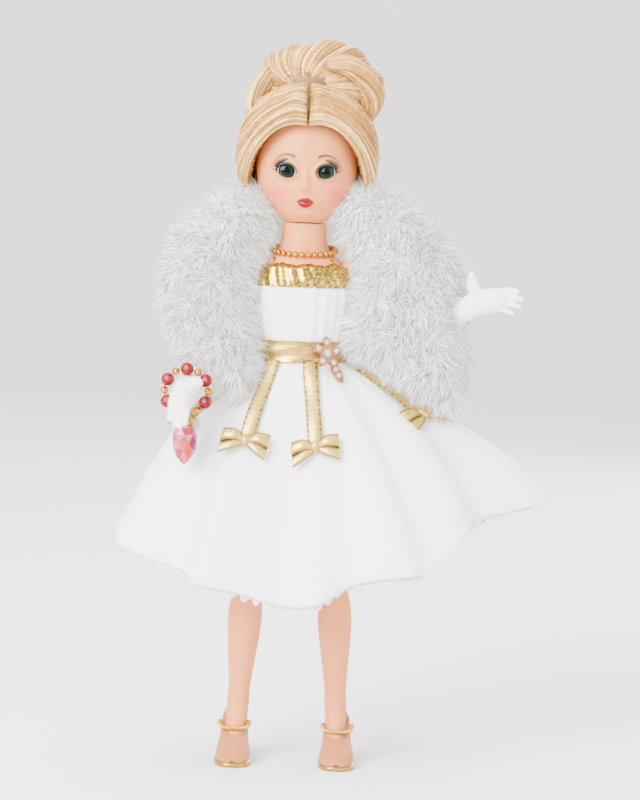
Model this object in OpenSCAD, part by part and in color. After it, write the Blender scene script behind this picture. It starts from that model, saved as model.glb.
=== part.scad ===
// Jointed fashion doll in evening dress: strung body, sleep eyes, pinned knees, removable clothes.
// The doll faces -Y and stands on z = 0. Its own right side is -X, its own left side is +X.

/* [Heights] */
// Floor to the knee pin
shin_l = 73; // [66:0.5:80]
// Knee pin to the hip joint
thigh_l = 65; // [58:0.5:72]
// Hip joint to the waist seam
hip_to_waist = 14.5; // [14:0.5:17]
// Waist seam to the shoulder joint
waist_to_shoulder = 31.5; // [29:0.5:36]
// Shoulder joint to the top of the neck
shoulder_to_neck = 19; // [17:0.5:23]
// Top of the neck to the eye axis
neck_to_eye = 18.9; // [18:0.5:20]

/* [Body] */
// Wall of the hollow body and head shells
wall = 2; // [1.6:0.1:2.4]
// Half width of the bust
bust_r = 19; // [17:0.5:21]
// Half width of the waist
waist_r = 15.5; // [14:0.5:16.5]
// Depth of the body as a share of its width
body_flat = 0.75; // [0.7:0.01:0.8]
// Distance of each shoulder wall from the middle
shoulder_x = 14; // [12.5:0.5:15]
// Distance of each hip joint centre from the middle
hip_x = 13; // [12:0.5:14]
// Distance of each shoe from the middle
foot_x = 19.4; // [16:0.2:22]
// Radius of each shoulder and hip hub
hub_r = 2.5; // [2:0.1:2.8]
// Radius of the neck at its top
neck_r = 7.4; // [6.5:0.1:8.2]

/* [Legs] */
// Radius of the calf at its widest
calf_r = 6.5; // [5.5:0.1:7]
// Radius of the ankle
ankle_r = 4.1; // [3.4:0.1:4.6]
// Radius of the thigh at the hip
thigh_r = 9; // [8:0.1:9.5]
// Radius of the knee
knee_r = 6; // [5.4:0.1:6.2]
// Thickness of the knee tongue
tongue_t = 4; // [3:0.1:5]
// Radius of the knee pin
pin_r = 1; // [0.8:0.05:1.3]

/* [Shoes] */
// Width of each shoe
shoe_w = 12.6; // [11.5:0.1:14]
// Length of each shoe
shoe_l = 29; // [27:0.5:31]
// Height of the heel
heel_h = 13; // [11:0.5:14]
// Height of the front of the shoe
vamp_h = 12.5; // [11.5:0.1:13.5]
// Thickness of the sole
sole_t = 1.2; // [0.8:0.1:1.8]

/* [Head] */
// Half width of the head
head_rx = 18.6; // [17.5:0.1:20]
// Half depth of the head
head_ry = 20; // [19:0.1:21]
// Half height of the head
head_rz = 24.5; // [23.5:0.1:25.5]
// How far the round of the head is cut off flat at the neck
chin_drop = 2.4; // [2:0.1:3]
// Distance between the eye centres
eye_gap = 14.6; // [13.6:0.1:15.6]
// Radius of each eyeball
eye_r = 5; // [4.6:0.1:5.2]
// Width and height of each eye opening
eye_open = [7.3, 5.8];
// Thickness of the wig
wig_t = 6.8; // [5:0.1:8]
// Half sizes of the rolled bun
bun_size = [24, 17, 17];

/* [Arms] */
// Radius of the shoulder cap
cap_r = 6; // [5.4:0.1:6.4]
// Radius of the elbow
elbow_r = 4.6; // [4:0.1:5]
// Radius of the wrist
wrist_r = 2.8; // [2.4:0.1:3]
// Thickness of the glove
glove_t = 0.5; // [0.3:0.1:0.8]

/* [Dress] */
// Thickness of the dress cloth
cloth_t = 0.6; // [0.4:0.1:0.8]
// Width of the belt ribbon
belt_w = 8; // [6:0.5:9]
// Height of the sparkling band
band_w = 8; // [6:0.5:9]
// Width of each hanging ribbon
ribbon_w = 5.5; // [4:0.1:6.5]
// Length of each hanging ribbon along the skirt
ribbon_l = 38; // [30:1:50]
// Number of hanging ribbons
ribbons = 8; // [8:1:8]

/* [Jewellery] */
// Radius of the necklace
necklace_r = 12; // [11.5:0.1:13]
// Radius of each necklace bead
pearl_r = 1.15; // [0.9:0.05:1.3]
// Radius of the bracelet ring of the bag
ring_r = 8; // [7.5:0.1:9]
// Radius of each red bead
bead_r = 2.5; // [2:0.1:2.6]
// Radius and length of the crystal drop
drop_size = [4.7, 15];

/* [Fit] */
// Radial running clearance of pins and hubs
run_fit = 0.06; // [0.02:0.01:0.1]
// Clearance between pieces that only lie together
lie_fit = 0.1; // [0.05:0.01:0.15]
// Clearance between pieces that move past each other
move_fit = 0.3; // [0.2:0.05:0.5]

/* [Hidden] */
$fn = 48;
sides = [-1, 1];
knee_z = shin_l;
hip_z = knee_z + thigh_l;
waist_z = hip_z + hip_to_waist;
shoulder_z = waist_z + waist_to_shoulder;
neck_z = shoulder_z + shoulder_to_neck;
eye_z = neck_z + neck_to_eye;
head_z = neck_z + move_fit + head_rz - chin_drop;
knee_x = hip_x + (foot_x - hip_x) * (hip_z - knee_z) / hip_z;
eye_y = 6.2 - (head_rx + head_ry) / 2 * sqrt(1 - pow(eye_gap / (head_rx + head_ry), 2));
bust_z = shoulder_z - 7;
hip_block = hip_x - 6;
ends = 0.8;

// ---------- general shapes ----------

// A cylinder that lies along X, centred on its own middle
module rod_x(r, l) rotate([0, 90, 0]) cylinder(r = r, h = l, center = true);

// A disc along X from x0 to x1
module disc_x(r, x0, x1) translate([x0, 0, 0]) rotate([0, 90, 0]) cylinder(r = r, h = x1 - x0);

// A tapered limb from a to b with a ball at each end, a little fuller than the limb
ball = 1.05;
module limb(a, b, ra, rb) {
    v = b - a;
    translate(a) {
        sphere(ra * ball);
        rotate([0, acos(v[2] / norm(v)), atan2(v[1], v[0])]) cylinder(r1 = ra, r2 = rb, h = norm(v));
    }
    translate(b) sphere(rb * ball);
}
// The same limb as one smooth cloth or fur form
module soft_limb(a, b, ra, rb, n = 20) hull() {
    translate(a) sphere(ra * ball, $fn = n);
    translate(b) sphere(rb * ball, $fn = n);
}

// A chain of limbs through points with a radius at each
module chain(points, radii, grow = 0)
    for (i = [0:len(points) - 2])
        limb(points[i], points[i + 1], radii[i] + grow, radii[i + 1] + grow);

// A closed shell between two stacks of rings with the same counts
module ring_shell(outer, inner) {
    rows = len(outer);
    cols = len(outer[0]);
    points = [for (stack = [outer, inner], ring = stack, p = ring) p];
    base = rows * cols;
    polyhedron(points, halves(concat(
        [for (i = [0:rows - 2], j = [0:cols - 1]) let (k = (j + 1) % cols)
            [i * cols + j, i * cols + k, (i + 1) * cols + k, (i + 1) * cols + j]],
        [for (i = [0:rows - 2], j = [0:cols - 1]) let (k = (j + 1) % cols)
            [base + (i + 1) * cols + j, base + (i + 1) * cols + k, base + i * cols + k, base + i * cols + j]],
        [for (j = [0:cols - 1]) let (k = (j + 1) % cols) [j, base + j, base + k, k]],
        [for (j = [0:cols - 1]) let (k = (j + 1) % cols, e = (rows - 1) * cols)
            [e + k, base + e + k, base + e + j, e + j]])));
}
// Each four-sided face as two triangles
function halves(faces) = [for (f = faces, t = [[f[0], f[1], f[2]], [f[0], f[2], f[3]]]) t];

// A thin solid between an outer and an inner two-wide strip
module strip(outer, inner) {
    rows = len(outer);
    section = function (i) [outer[i][0], outer[i][1], inner[i][1], inner[i][0]];
    points = [for (i = [0:rows - 1], p = section(i)) p];
    polyhedron(points, halves(concat(
        [[0, 1, 2, 3]],
        [for (i = [0:rows - 2], j = [0:3]) let (k = (j + 1) % 4)
            [i * 4 + j, (i + 1) * 4 + j, (i + 1) * 4 + k, i * 4 + k]],
        [[for (j = [3:-1:0]) (rows - 1) * 4 + j]])));
}

// ---------- skirt surface ----------

// Azimuth, reach and height of the hem, anticlockwise from the doll's left (+X)
hem = [[0, 88, 104], [40, 80, 84], [65, 72, 72], [90, 67, 70], [135, 66, 74], [180, 68, 88],
       [225, 53, 71], [270, 45, 62], [315, 63, 79], [340, 77, 97], [360, 88, 104]];

// Smooth value of column c of the hem at azimuth a
function hem_at(a, c) =
    let (w = ((a % 360) + 360) % 360,
         i = max([for (n = [0:len(hem) - 2]) if (hem[n][0] <= w) n]),
         t = (w - hem[i][0]) / (hem[i + 1][0] - hem[i][0]),
         u = (1 - cos(180 * t)) / 2)
    hem[i][c] * (1 - u) + hem[i + 1][c] * u;

// Point of the skirt at azimuth a, share s of the way down, in by d; folds deepen toward the hem
function skirt_point(a, s, d = 0) =
    let (h0 = waist_z - 0.2,
         folds = 1 + 0.035 * s * cos(9 * a + 30),
         reach = hem_at(a, 1) * folds,
         drop = h0 - hem_at(a, 2) * h0 / 152.3,
         f = s * (1.35 - 0.35 * s),
         g = s * (0.8 + 0.2 * s),
         r0x = waist_r + 1.3,
         r0y = r0x * body_flat,
         rx = r0x + (reach - r0x) * f - d,
         ry = r0y + (reach - r0y) * f - d)
    [rx * cos(a), ry * sin(a), h0 - drop * g - d * 0.3];
function skirt_ring(s, d, n) = [for (j = [0:n - 1]) skirt_point(-j * 360 / n, s, d)];
function skirt_rows(s0, s1, m) = [for (i = [0:m]) s0 + (s1 - s0) * i / m];

// ---------- body ----------

body_profile = [[8, hip_z - 9], [hip_block + 6, hip_z - 6], [16, hip_z], [17, hip_z + 7],
                [waist_r + 0.4, waist_z - 3], [waist_r, waist_z + 2], [waist_r + 1.2, waist_z + 10],
                [bust_r - 0.6, bust_z - 5], [bust_r, bust_z], [bust_r - 1.2, bust_z + 5],
                [bust_r - 3.2, bust_z + 10], [neck_r + 1.5, shoulder_z + 6]];
function grown(profile, d) = [for (p = profile) [p[0] + d, p[1]]];
module body_solid(profile, d, z0, z1)
    scale([1, body_flat, 1]) rotate_extrude()
        intersection() {
            polygon(concat([[0, profile[0][1]]], grown(profile, d), [[0, profile[len(profile) - 1][1]]]));
            translate([0, z0]) square([60, z1 - z0]);
        }

module torso_whole() {
    top = shoulder_z + 6;
    difference() {
        union() {
            body_solid(body_profile, 0, hip_z - 9, top);
            translate([0, 0, top - 4]) cylinder(r1 = neck_r + 1.2, r2 = neck_r, h = neck_z - top + 4);
        }
        body_solid(body_profile, -wall, hip_z - 9 + wall, top - wall);
        translate([0, 0, top - 6]) cylinder(r = neck_r - wall, h = neck_z - top + 6 - wall);
        translate([0, 0, neck_z - wall - 1]) cylinder(r = hub_r, h = wall + 2);
        for (s = sides) {
            arm_room(s, 0);
            translate([0, 0, hip_z]) disc_side(s, thigh_r + move_fit, hip_block, 40);
            translate([s * (hip_block + 20), 0, hip_z - 10]) cube([40, 60, 20], center = true);
        }
        translate([0, 0, shoulder_z]) rod_x(hub_r + run_fit, 60);
        translate([0, 0, hip_z]) rod_x(hub_r + run_fit, 60);
    }
    for (s = sides) {
        socket_wall(s, shoulder_x, shoulder_z, 5.4);
        socket_wall(s, hip_block, hip_z, 5.4);
    }
}
// Room for the arm, which widens away from the body as the arm does
module arm_room(s, grow) translate([0, 0, shoulder_z]) {
    disc_side(s, cap_r + 1 + grow, shoulder_x - grow, 60);
    translate([s * (shoulder_x - grow), 0, 0]) rotate([0, s * 90, 0])
        cylinder(r1 = cap_r + 1 + grow, r2 = cap_r + 14 + grow, h = 9);
}
// A disc along X on side s between two distances from the middle
module disc_side(s, r, x0, x1) disc_x(r, s > 0 ? x0 : -x1, s > 0 ? x1 : -x0);
// Flat wall with the hub's bore, closing the body at a joint
module socket_wall(s, x, z, r)
    translate([0, 0, z]) difference() {
        disc_side(s, r, x - wall, x);
        rod_x(hub_r + run_fit, 60);
    }
module half_space(front) translate([-100, front ? -200 : 0, 0]) cube([200, 200, 400]);
module torso_front() color("#E8BFA3") intersection() { torso_whole(); half_space(true); }
module torso_back() color("#E8BFA3") intersection() { torso_whole(); half_space(false); }

// Hub that turns in a wall at x: shaft, keeper disc, neck and end knob for the elastic
module hub(s, x) {
    disc_side(s, hub_r, x - wall - move_fit, x + 3);
    disc_side(s, hub_r + 1, x - wall - move_fit - ends, x - wall - move_fit);
    disc_side(s, 0.8, x - wall - move_fit - ends - 1.8, x - wall - move_fit);
    disc_side(s, 1.8, x - wall - move_fit - 2 * ends - 1.7, x - wall - move_fit - ends - 1.7);
}
// Rubber loop that hooks over both end knobs of a pair of hubs
module elastic_loop(x, z) {
    e = x - wall - move_fit - ends - 0.9;
    translate([0, 0, z]) {
        for (s = sides) {
            translate([0, 0, s * 3]) rod_x(0.8, 2 * e);
            difference() {
                translate([s * e, 0, 0]) cube([1.2, 2.4, 7.6], center = true);
                rod_x(0.8 + run_fit, 60);
            }
        }
    }
}
module shoulder_elastic() color("#D8D0C0") elastic_loop(shoulder_x, shoulder_z);
module hip_elastic() color("#D8D0C0") elastic_loop(hip_block, hip_z);
strand_y = 3.2;
hook_z = neck_z - 9;
module neck_elastic() color("#D8D0C0") {
    low = hip_z + 3;
    translate([0, strand_y, low]) cylinder(r = 0.8, h = hook_z - low);
    difference() {
        translate([0, strand_y / 2, hook_z]) cube([3.4, strand_y + 3.6, 1.4], center = true);
        translate([0, 0, hook_z - 2]) cylinder(r = 0.8 + run_fit, h = 4);
    }
    difference() {
        translate([0, strand_y / 2, low]) cube([2, strand_y + 3, 3.4], center = true);
        translate([0, 0, low]) rod_x(0.8 + lie_fit, 10);
    }
}

// ---------- arms ----------

// Joint points of each arm: shoulder, elbow, wrist, palm, finger tips, thumb tip
shoulder_cap_x = shoulder_x + move_fit + 3.4;
arm_right_points = [[-shoulder_cap_x, 0, shoulder_z], [-37, 1, shoulder_z - 34], [-40.6, -26, shoulder_z - 41],
                    [-41.4, -33, shoulder_z - 43.5], [-42.4, -41, shoulder_z - 47], [-37, -36, shoulder_z - 39]];
arm_left_points = [[shoulder_cap_x, 0, shoulder_z], [38, -7, shoulder_z - 31], [56.5, -13, shoulder_z - 13],
                   [63, -14.5, shoulder_z - 8.5], [71, -16, shoulder_z - 6], [62.5, -16, shoulder_z - 1]];
function arm_points(s) = s > 0 ? arm_left_points : arm_right_points;
arm_radii = [cap_r - 0.4, elbow_r, wrist_r];
hand_radii = [wrist_r, wrist_r + 0.9, 1.9];

module arm(s) color("#E8BFA3") {
    p = arm_points(s);
    difference() {
        chain([p[0], p[1], p[2]], arm_radii);
        translate([0, 0, shoulder_z]) disc_side(s, 20, -5, shoulder_x + move_fit);
    }
    chain([p[2], p[3], p[4]], hand_radii);
    limb(p[3], p[5], 1.8, 1.3);
    translate([0, 0, shoulder_z]) hub(s, shoulder_x);
}
module hand_shape(p, grow) {
    for (i = [2, 3]) soft_limb(p[i], p[i + 1], hand_radii[i - 2] + grow, hand_radii[i - 1] + grow);
    soft_limb(p[3], p[5], 1.8 + grow, 1.3 + grow);
}
// Glove over the hand, open at the wrist
module glove(s) color("#EFE6E4") {
    p = arm_points(s);
    along = p[2] - p[1];
    difference() {
        hand_shape(p, lie_fit + glove_t);
        hand_shape(p, lie_fit);
        soft_limb(p[1], p[2], elbow_r + lie_fit, wrist_r + lie_fit);
        soft_limb(p[2] - unit(along) * 9, p[2] - unit(along) * 8, 8, 8);
    }
}

// ---------- fur stole ----------

// Collar that stands round the back of the neck, with a panel down the back
collar_r = [21, 30];
module stole_back() color("#F1F1EC") {
    intersection() {
        union() {
            translate([0, 0, shoulder_z + cap_r + 4]) rotate([0, 0, -16])
                rotate_extrude(angle = 212) translate([collar_r[0], 0]) stole_section();
            translate([0, 0, shoulder_z - 22]) rotate([0, 0, 45])
                rotate_extrude(angle = 90) translate([collar_r[0], 0]) square([7, 34]);
        }
        translate([-33, -40, 0]) cube([66, 80, 300]);
    }
}
module stole_section() {
    translate([4.5, 4.5]) circle(4.5);
    translate([4.5, 14.5]) circle(4.5);
    translate([0, 4.5]) square([9, 10]);
}
// Half of the stole that lies over one arm and hangs beside it, as overlapping rolls of fur
module stole_half(s) color("#F1F1EC") {
    p = arm_points(s);
    centre = s > 0 ? [42, -2, shoulder_z - 13] : [-39, -3, shoulder_z - 15];
    size = s > 0 ? [19, 15, 27] : [15.5, 16, 27];
    rolls = 6;
    difference() {
        for (i = [0:rolls - 1]) let (c = cos(180 * (i + 0.5) / rolls), w = sqrt(1 - c * c))
            translate(centre + [0, 0, size[2] * c * 0.62])
                hull() scale([size[0] * w, size[1] * w, size[2] * 0.42]) sphere(1, $fn = 24);
        for (i = [0, 1]) soft_limb(p[i], p[i + 1], arm_radii[i] + move_fit, arm_radii[i + 1] + move_fit);
        translate([0, 0, shoulder_z]) disc_side(s, 60, -5, shoulder_cap_x + cap_r + 1);
        translate([0, 0, shoulder_z]) difference() {
            disc_side(s, 60, 20, 33);
            disc_side(s, 11, 19, 34);
        }
        translate(p[3]) sphere(hand_radii[1] + glove_t + 1);
        translate(p[2]) sphere(wrist_r + glove_t + 1);
        translate([0, 0, shoulder_z]) difference() {
            disc_side(s, 90, 33, 90);
            rotate([0, s * 90, 0]) cylinder(r1 = 0, r2 = 90, h = 90 * 0.85);
        }
    }
}

// ---------- legs ----------

thigh_profile = [[0, -thigh_l], [knee_r - 0.4, -thigh_l], [knee_r + 0.6, 10 - thigh_l], [thigh_r - 1.6, 30 - thigh_l],
                 [thigh_r - 0.6, -12], [thigh_r - 1, 0], [0, 0]];
lean = atan((foot_x - hip_x) / hip_z);
// Leaves local -Z pointing down the leg on side s
module lean_leg(s) rotate([0, -s * lean, 0]) children();

module thigh(s) color("#E3B48F") {
    translate([s * hip_x, 0, hip_z]) difference() {
        union() {
            sphere(thigh_r);
            lean_leg(s) rotate_extrude() polygon(thigh_profile);
        }
        translate([-s * hip_x, 0, 0]) disc_side(s, 30, -6, hip_block + move_fit);
        translate([s * (knee_x - hip_x), 0, knee_z - hip_z]) {
            rod_x(knee_r + 0.7, tongue_t + 2 * move_fit);
            rod_x(pin_r + run_fit, 30);
            translate([-15, -15, -30]) cube([30, 30, 30 - knee_r + 0.6]);
            difference() {
                translate([-15, -15, -10]) cube([30, 30, 10]);
                rod_x(knee_r - 0.2, 40);
            }
        }
    }
    translate([0, 0, hip_z]) hub(s, hip_block);
}

calf_top = -knee_r - 1;
calf_profile = [[0, calf_top], [knee_r - 1, calf_top], [calf_r - 0.6, -11], [calf_r, -18], [calf_r - 0.4, -25],
                [ankle_r + 1, -36], [ankle_r, -47], [ankle_r + 0.3, 22 - knee_z], [0, 22 - knee_z]];
// Foot points: ankle, heel, ball and toe, in the shoe's own place
foot_points = [[0, 3, 23], [0, 5, heel_h + 4.5], [0, -6, sole_t + 4.6], [0, -12, sole_t + 3.4]];
foot_radii = [ankle_r, 3.4, 3.6, 2.6];
module foot(s, grow) translate([s * foot_x, 0, 0]) chain(foot_points, foot_radii, grow);

module calf(s) color("#E3B48F") {
    foot(s, 0);
    translate([s * knee_x, 0, knee_z]) difference() {
        union() {
            intersection() {
                rod_x(knee_r + 0.4, tongue_t);
                union() {
                    rod_x(knee_r, tongue_t);
                    translate([-5, -3.4, -knee_r - 4]) cube([10, 6.8, knee_r]);
                }
            }
            translate([-tongue_t / 2, -3.4, calf_top - 2]) cube([tongue_t, 6.8, 4]);
            difference() {
                lean_leg(s) rotate_extrude() polygon(calf_profile);
                rod_x(knee_r + 0.7, 40);
            }
            translate([s * (foot_x - knee_x), 3 - 0, 23 - knee_z]) sphere(ankle_r);
        }
        rod_x(pin_r + run_fit, 30);
    }
}
module knee_pin(s) color("#C9A080") translate([s * knee_x, 0, knee_z]) rod_x(pin_r, 2 * knee_r - 2);

// ---------- shoes ----------

toe_y = -shoe_l * 0.6;
heel_y = shoe_l + toe_y;
shank = [[toe_y + 0.6, sole_t], [-5, sole_t], [-1, sole_t + 1.6], [4, heel_h - 3], [7, heel_h], [heel_y, heel_h]];
// Shoe side outline, drawn in Y and Z
module shoe_side() polygon(concat(shank,
    [[heel_y + 0.2, heel_h + 10], [heel_y - 1.6, heel_h + 10.5], [2, sole_t + 12.5],
     [-3, vamp_h], [-8, vamp_h], [-13, 8.6], [toe_y, 4.6]]));
module extrude_x(w) rotate([90, 0, 90]) translate([0, 0, -w / 2]) linear_extrude(w) children();
module shoe_plan() {
    translate([0, toe_y + shoe_w / 2 - 1]) circle(shoe_w / 2 - 0.3);
    translate([0, heel_y - 5]) circle(5);
    polygon([[-shoe_w / 2 + 0.3, toe_y + shoe_w / 2 - 1], [shoe_w / 2 - 0.3, toe_y + shoe_w / 2 - 1],
             [5, heel_y - 5], [-5, heel_y - 5]]);
}
module shoe_upper(s) color("#C99C78") difference() {
    translate([s * foot_x, 0, 0]) intersection() {
        extrude_x(shoe_w) shoe_side();
        linear_extrude(40) shoe_plan();
    }
    foot(s, lie_fit);
    translate([s * foot_x, 0, 0]) translate([0, 4, heel_h + 4]) cylinder(r = ankle_r + 0.4, h = 30);
}
module shoe_sole(s) color("#B8912F") translate([s * foot_x, 0, 0]) {
    intersection() {
        extrude_x(shoe_w) polygon([[toe_y - 0.4, 0], [-4, 0], [0, 1.6], [5, heel_h - 3.6], [7.4, heel_h - sole_t],
                                   [heel_y, heel_h - sole_t], [heel_y, heel_h], [7, heel_h], [4, heel_h - 3],
                                   [-1, sole_t + 1.6], [-5, sole_t], [toe_y - 0.4, sole_t]]);
        linear_extrude(40) shoe_plan();
    }
    translate([0, heel_y - 2.9, 0]) cylinder(r1 = 1.8, r2 = 2.6, h = heel_h - sole_t);
}
module shoe_trim(s) color("#D4B25E") translate([s * foot_x, -5.5, vamp_h]) difference() {
    scale([1, 0.5, 1]) cylinder(r = 5.2, h = 1.6);
    scale([1, 0.5, 1]) translate([0, 0, -1]) cylinder(r = 4.2, h = 4);
    translate([-10, 0, -1]) cube([20, 20, 5]);
    translate([-s * foot_x, 5.5, -vamp_h]) foot(s, lie_fit);
}

// ---------- head ----------

eye_place = function (s) [s * eye_gap / 2, eye_y, eye_z];
// Half outline of an egg form, from its bottom to its top
function egg(rx, rz, n = 18) = [for (i = [0:n]) let (a = -90 + 180 * i / n) [rx * cos(a), rz * sin(a)]];
module head_form(d) {
    translate([0, 0.5, head_z]) rotate_extrude() polygon(egg((head_rx + head_ry) / 2 + d, head_rz + d));
}
pate_z = eye_z + 16;
head_base = neck_z + move_fit;
module eye_slot() {
    w = eye_open[0] / 2 - 2;
    h = eye_open[1] / 2 - 2;
    rotate([90, 0, 0]) linear_extrude(20) {
        for (x = [-w, w], y = [-h, h]) translate([x, y]) circle(2);
        square([eye_open[0], 2 * h], center = true);
        square([2 * w, eye_open[1]], center = true);
    }
}
module head_whole() difference() {
    head_form(0);
    difference() {
        head_form(-wall);
        translate([-50, -50, 0]) cube([100, 100, head_base + wall]);
    }
    translate([0, 0, head_base - 50]) cube([100, 100, 100], center = true);
    translate([0, 0, head_base - 5]) cylinder(r = hub_r + run_fit, h = 20);
    for (s = sides) translate(eye_place(s)) {
        sphere(eye_r + move_fit);
        eye_slot();
    }
    translate([0, eye_y, eye_z]) rod_x(1 + move_fit, eye_gap);
    for (s = sides) translate([s * 12, ear_y, ear_z]) disc_side(s, 0.35, 0, 20);
}
module head_shell() color("#E8BFA3") {
    difference() {
        head_whole();
        translate([-50, -50, pate_z]) cube([100, 100, 50]);
    }
    for (s = sides) difference() {
        translate([s * ear_x, ear_y, ear_z]) sphere(ear_r);
        head_form(-0.4);
        translate([s * 12, ear_y, ear_z]) disc_side(s, 0.35, 0, 20);
    }
}
module head_crown() color("#E8BFA3") intersection() {
    head_whole();
    translate([-50, -50, pate_z]) cube([100, 100, 50]);
}
module neck_button() color("#C9C2B6") {
    translate([0, 0, head_base + wall]) cylinder(r = hub_r + 2.4, h = 1.6);
    translate([0, 0, neck_z - wall - 0.6]) cylinder(r = hub_r - 0.4, h = wall + 3.2);
    translate([0, 0, hook_z - 0.9]) cylinder(r = 0.8, h = neck_z - hook_z);
    translate([0, 0, hook_z - 1.7]) cylinder(r = 1.8, h = 0.8);
}
ear_x = 15;
ear_y = 0.5;
ear_z = eye_z - 8.2;
ear_r = 2.8;
ear_bead_r = 1.1;
module earrings() color("#D9B45A") for (s = sides)
    translate([s * (ear_x + ear_r - 1.8), ear_y, ear_z]) rotate([0, s * 90, 0]) rotate_extrude() {
        square([0.3, 1.8 + ear_bead_r]);
        intersection() {
            translate([0, 1.8 + ear_bead_r + lie_fit]) circle(ear_bead_r);
            square(9);
        }
    }

// ---------- eyes ----------

module eyeball(s) color("#F4F2EE") translate(eye_place(s)) difference() {
    sphere(eye_r);
    disc_side(-s, 1, 3, 6);
}
module eye_rocker() color("#8A8A8A") translate([0, eye_y, eye_z]) {
    rod_x(1, eye_gap - 6);
    translate([0, 0, -1]) rotate([-100, 0, 0]) cylinder(r = 0.8, h = 12);
    translate([0, 13, -3]) rod_x(2.6, 9);
}
lash_up = 18;
module eyelashes() color("#2A211C") for (s = sides) translate(eye_place(s)) intersection() {
    rotate([-lash_up, 0, 0]) translate([-2.6, -eye_r - 1.5, -0.2]) cube([5.2, 1.5 + eye_r, 0.4]);
    difference() {
        sphere(eye_r + 1.4);
        sphere(eye_r);
    }
}

// ---------- wig ----------

wig_z = head_z + 2;
module wig_form(d) translate([0, 1.5, wig_z]) rotate_extrude() polygon(egg(head_rx + d, head_rz + d - 4));
module wig_base() color("#D9B77A") difference() {
    wig_form(wig_t);
    head_form(lie_fit);
    translate([-50, -50, 0]) cube([100, 100, neck_z + 7]);
    translate([0, -5, eye_z - 1]) rotate([90, 0, 0]) cylinder(r = 18.4, h = 40);
    translate([-30, -40, 0]) cube([60, 44, eye_z - 4]);
}
bun_place = [4, 13, eye_z + 32];
module wig_bun() color("#D9B77A") difference() {
    translate(bun_place) rotate([0, 90, 0]) rotate_extrude() polygon(egg(bun_size[2], bun_size[0]));
    wig_form(wig_t + lie_fit);
    head_form(lie_fit);
}

// ---------- dress ----------

bodice_gap = 0.4;
bodice_top = bust_z + 11;
module armholes() {
    translate([0, 0, shoulder_z]) rod_x(cap_r + 2.4, 100);
    for (s = sides) arm_room(s, 0.6);
}
// A close band of cloth round the body between two heights
module round_body(inner, outer, z0, z1) difference() {
    scale([1, body_flat, 1]) rotate_extrude() intersection() {
        polygon(concat(grown(body_profile, outer),
                       [for (i = [len(body_profile) - 1:-1:0]) body_profile[i] + [inner, 0]]));
        translate([0, z0]) square([60, z1 - z0]);
    }
    armholes();
}
module bodice() color("#F2F1F2") round_body(bodice_gap, bodice_gap + cloth_t, waist_z, bodice_top);
module bodice_band() color("#D8C27A")
    round_body(bodice_gap + cloth_t + lie_fit, bodice_gap + 2 * cloth_t + lie_fit, bodice_top - band_w, bodice_top);
module shoulder_straps() color("#D4AF4E") for (s = sides) {
    top = [s * 10.2, 0, shoulder_z + 7.8];
    for (front = sides) limb(top, [s * 10.5, front * 7.6, bodice_top + 0.8], 0.8, 0.8);
}
belt_in = waist_r + bodice_gap + cloth_t + 0.9;
module belt() color("#C9B37A") translate([0, 0, waist_z]) scale([1, body_flat + 0.02, 1]) difference() {
    cylinder(r = belt_in + 0.6, h = belt_w - 1.5);
    translate([0, 0, -1]) cylinder(r = belt_in, h = belt_w + 2);
}

n_skirt = 64;
skirt_s = skirt_rows(0, 1, 9);
module skirt() color("#F2F1F2") ring_shell(
    [for (s = skirt_s) skirt_ring(s, 0, n_skirt)],
    [for (s = skirt_s) skirt_ring(s, cloth_t + 0.2, n_skirt)]);
under = 1.6;
module petticoat() color("#F6F5F3") ring_shell(
    [for (s = skirt_rows(0.06, 0.95, 7)) skirt_ring(s, under + 2 * s, n_skirt)],
    [for (s = skirt_rows(0.06, 0.95, 7)) skirt_ring(s, under + cloth_t + 2 * s, n_skirt)]);
module petticoat_lace() color("#FBFAF8") ring_shell(
    [for (s = skirt_rows(0.955, 1.01, 1)) skirt_ring(s, under + 2 * s, n_skirt)],
    [for (s = skirt_rows(0.955, 1.01, 1)) skirt_ring(s, under + cloth_t + 2 * s, n_skirt)]);
// Half width of the body at height z
function body_at(z) = lookup(z, [for (p = body_profile) [p[1], p[0]]]);
snap_r = 1.3;
module back_snaps() color("#B8B8BC") for (z = [waist_z + 9.5, waist_z + 20])
    translate([0, (body_at(z + snap_r) + bodice_gap + cloth_t) * body_flat + lie_fit, z])
        rotate([-90, 0, 0]) cylinder(r = snap_r, h = 0.8);

// Unit vectors of the skirt at azimuth a and share s: across, down and out
function unit(v) = v / norm(v);
function across_at(a, s) = unit(skirt_point(a + 1, s) - skirt_point(a - 1, s));
function down_at(a, s) = unit(skirt_point(a, s + 0.01) - skirt_point(a, s - 0.01));
function out_at(a, s) = unit(cross(down_at(a, s), across_at(a, s)));
ribbon_places = [-77, -14, 28, 68, 108, 148, 193, 238];
ribbon_az = function (i) ribbon_places[i - 1];
ribbon_end = ribbon_l / 98;
function ribbon_row(a, s, d) = let (p = skirt_point(a, s), w = across_at(a, s), o = out_at(a, s))
    [p - w * ribbon_w / 2 + o * d, p + w * ribbon_w / 2 + o * d];
ribbon_lift = 0.6;
module streamer(i) color("#E6DBA6") strip(
    [for (s = skirt_rows(0.03, ribbon_end, 7)) ribbon_row(ribbon_az(i), s, ribbon_lift + 0.4)],
    [for (s = skirt_rows(0.03, ribbon_end, 7)) ribbon_row(ribbon_az(i), s, ribbon_lift)]);
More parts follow.
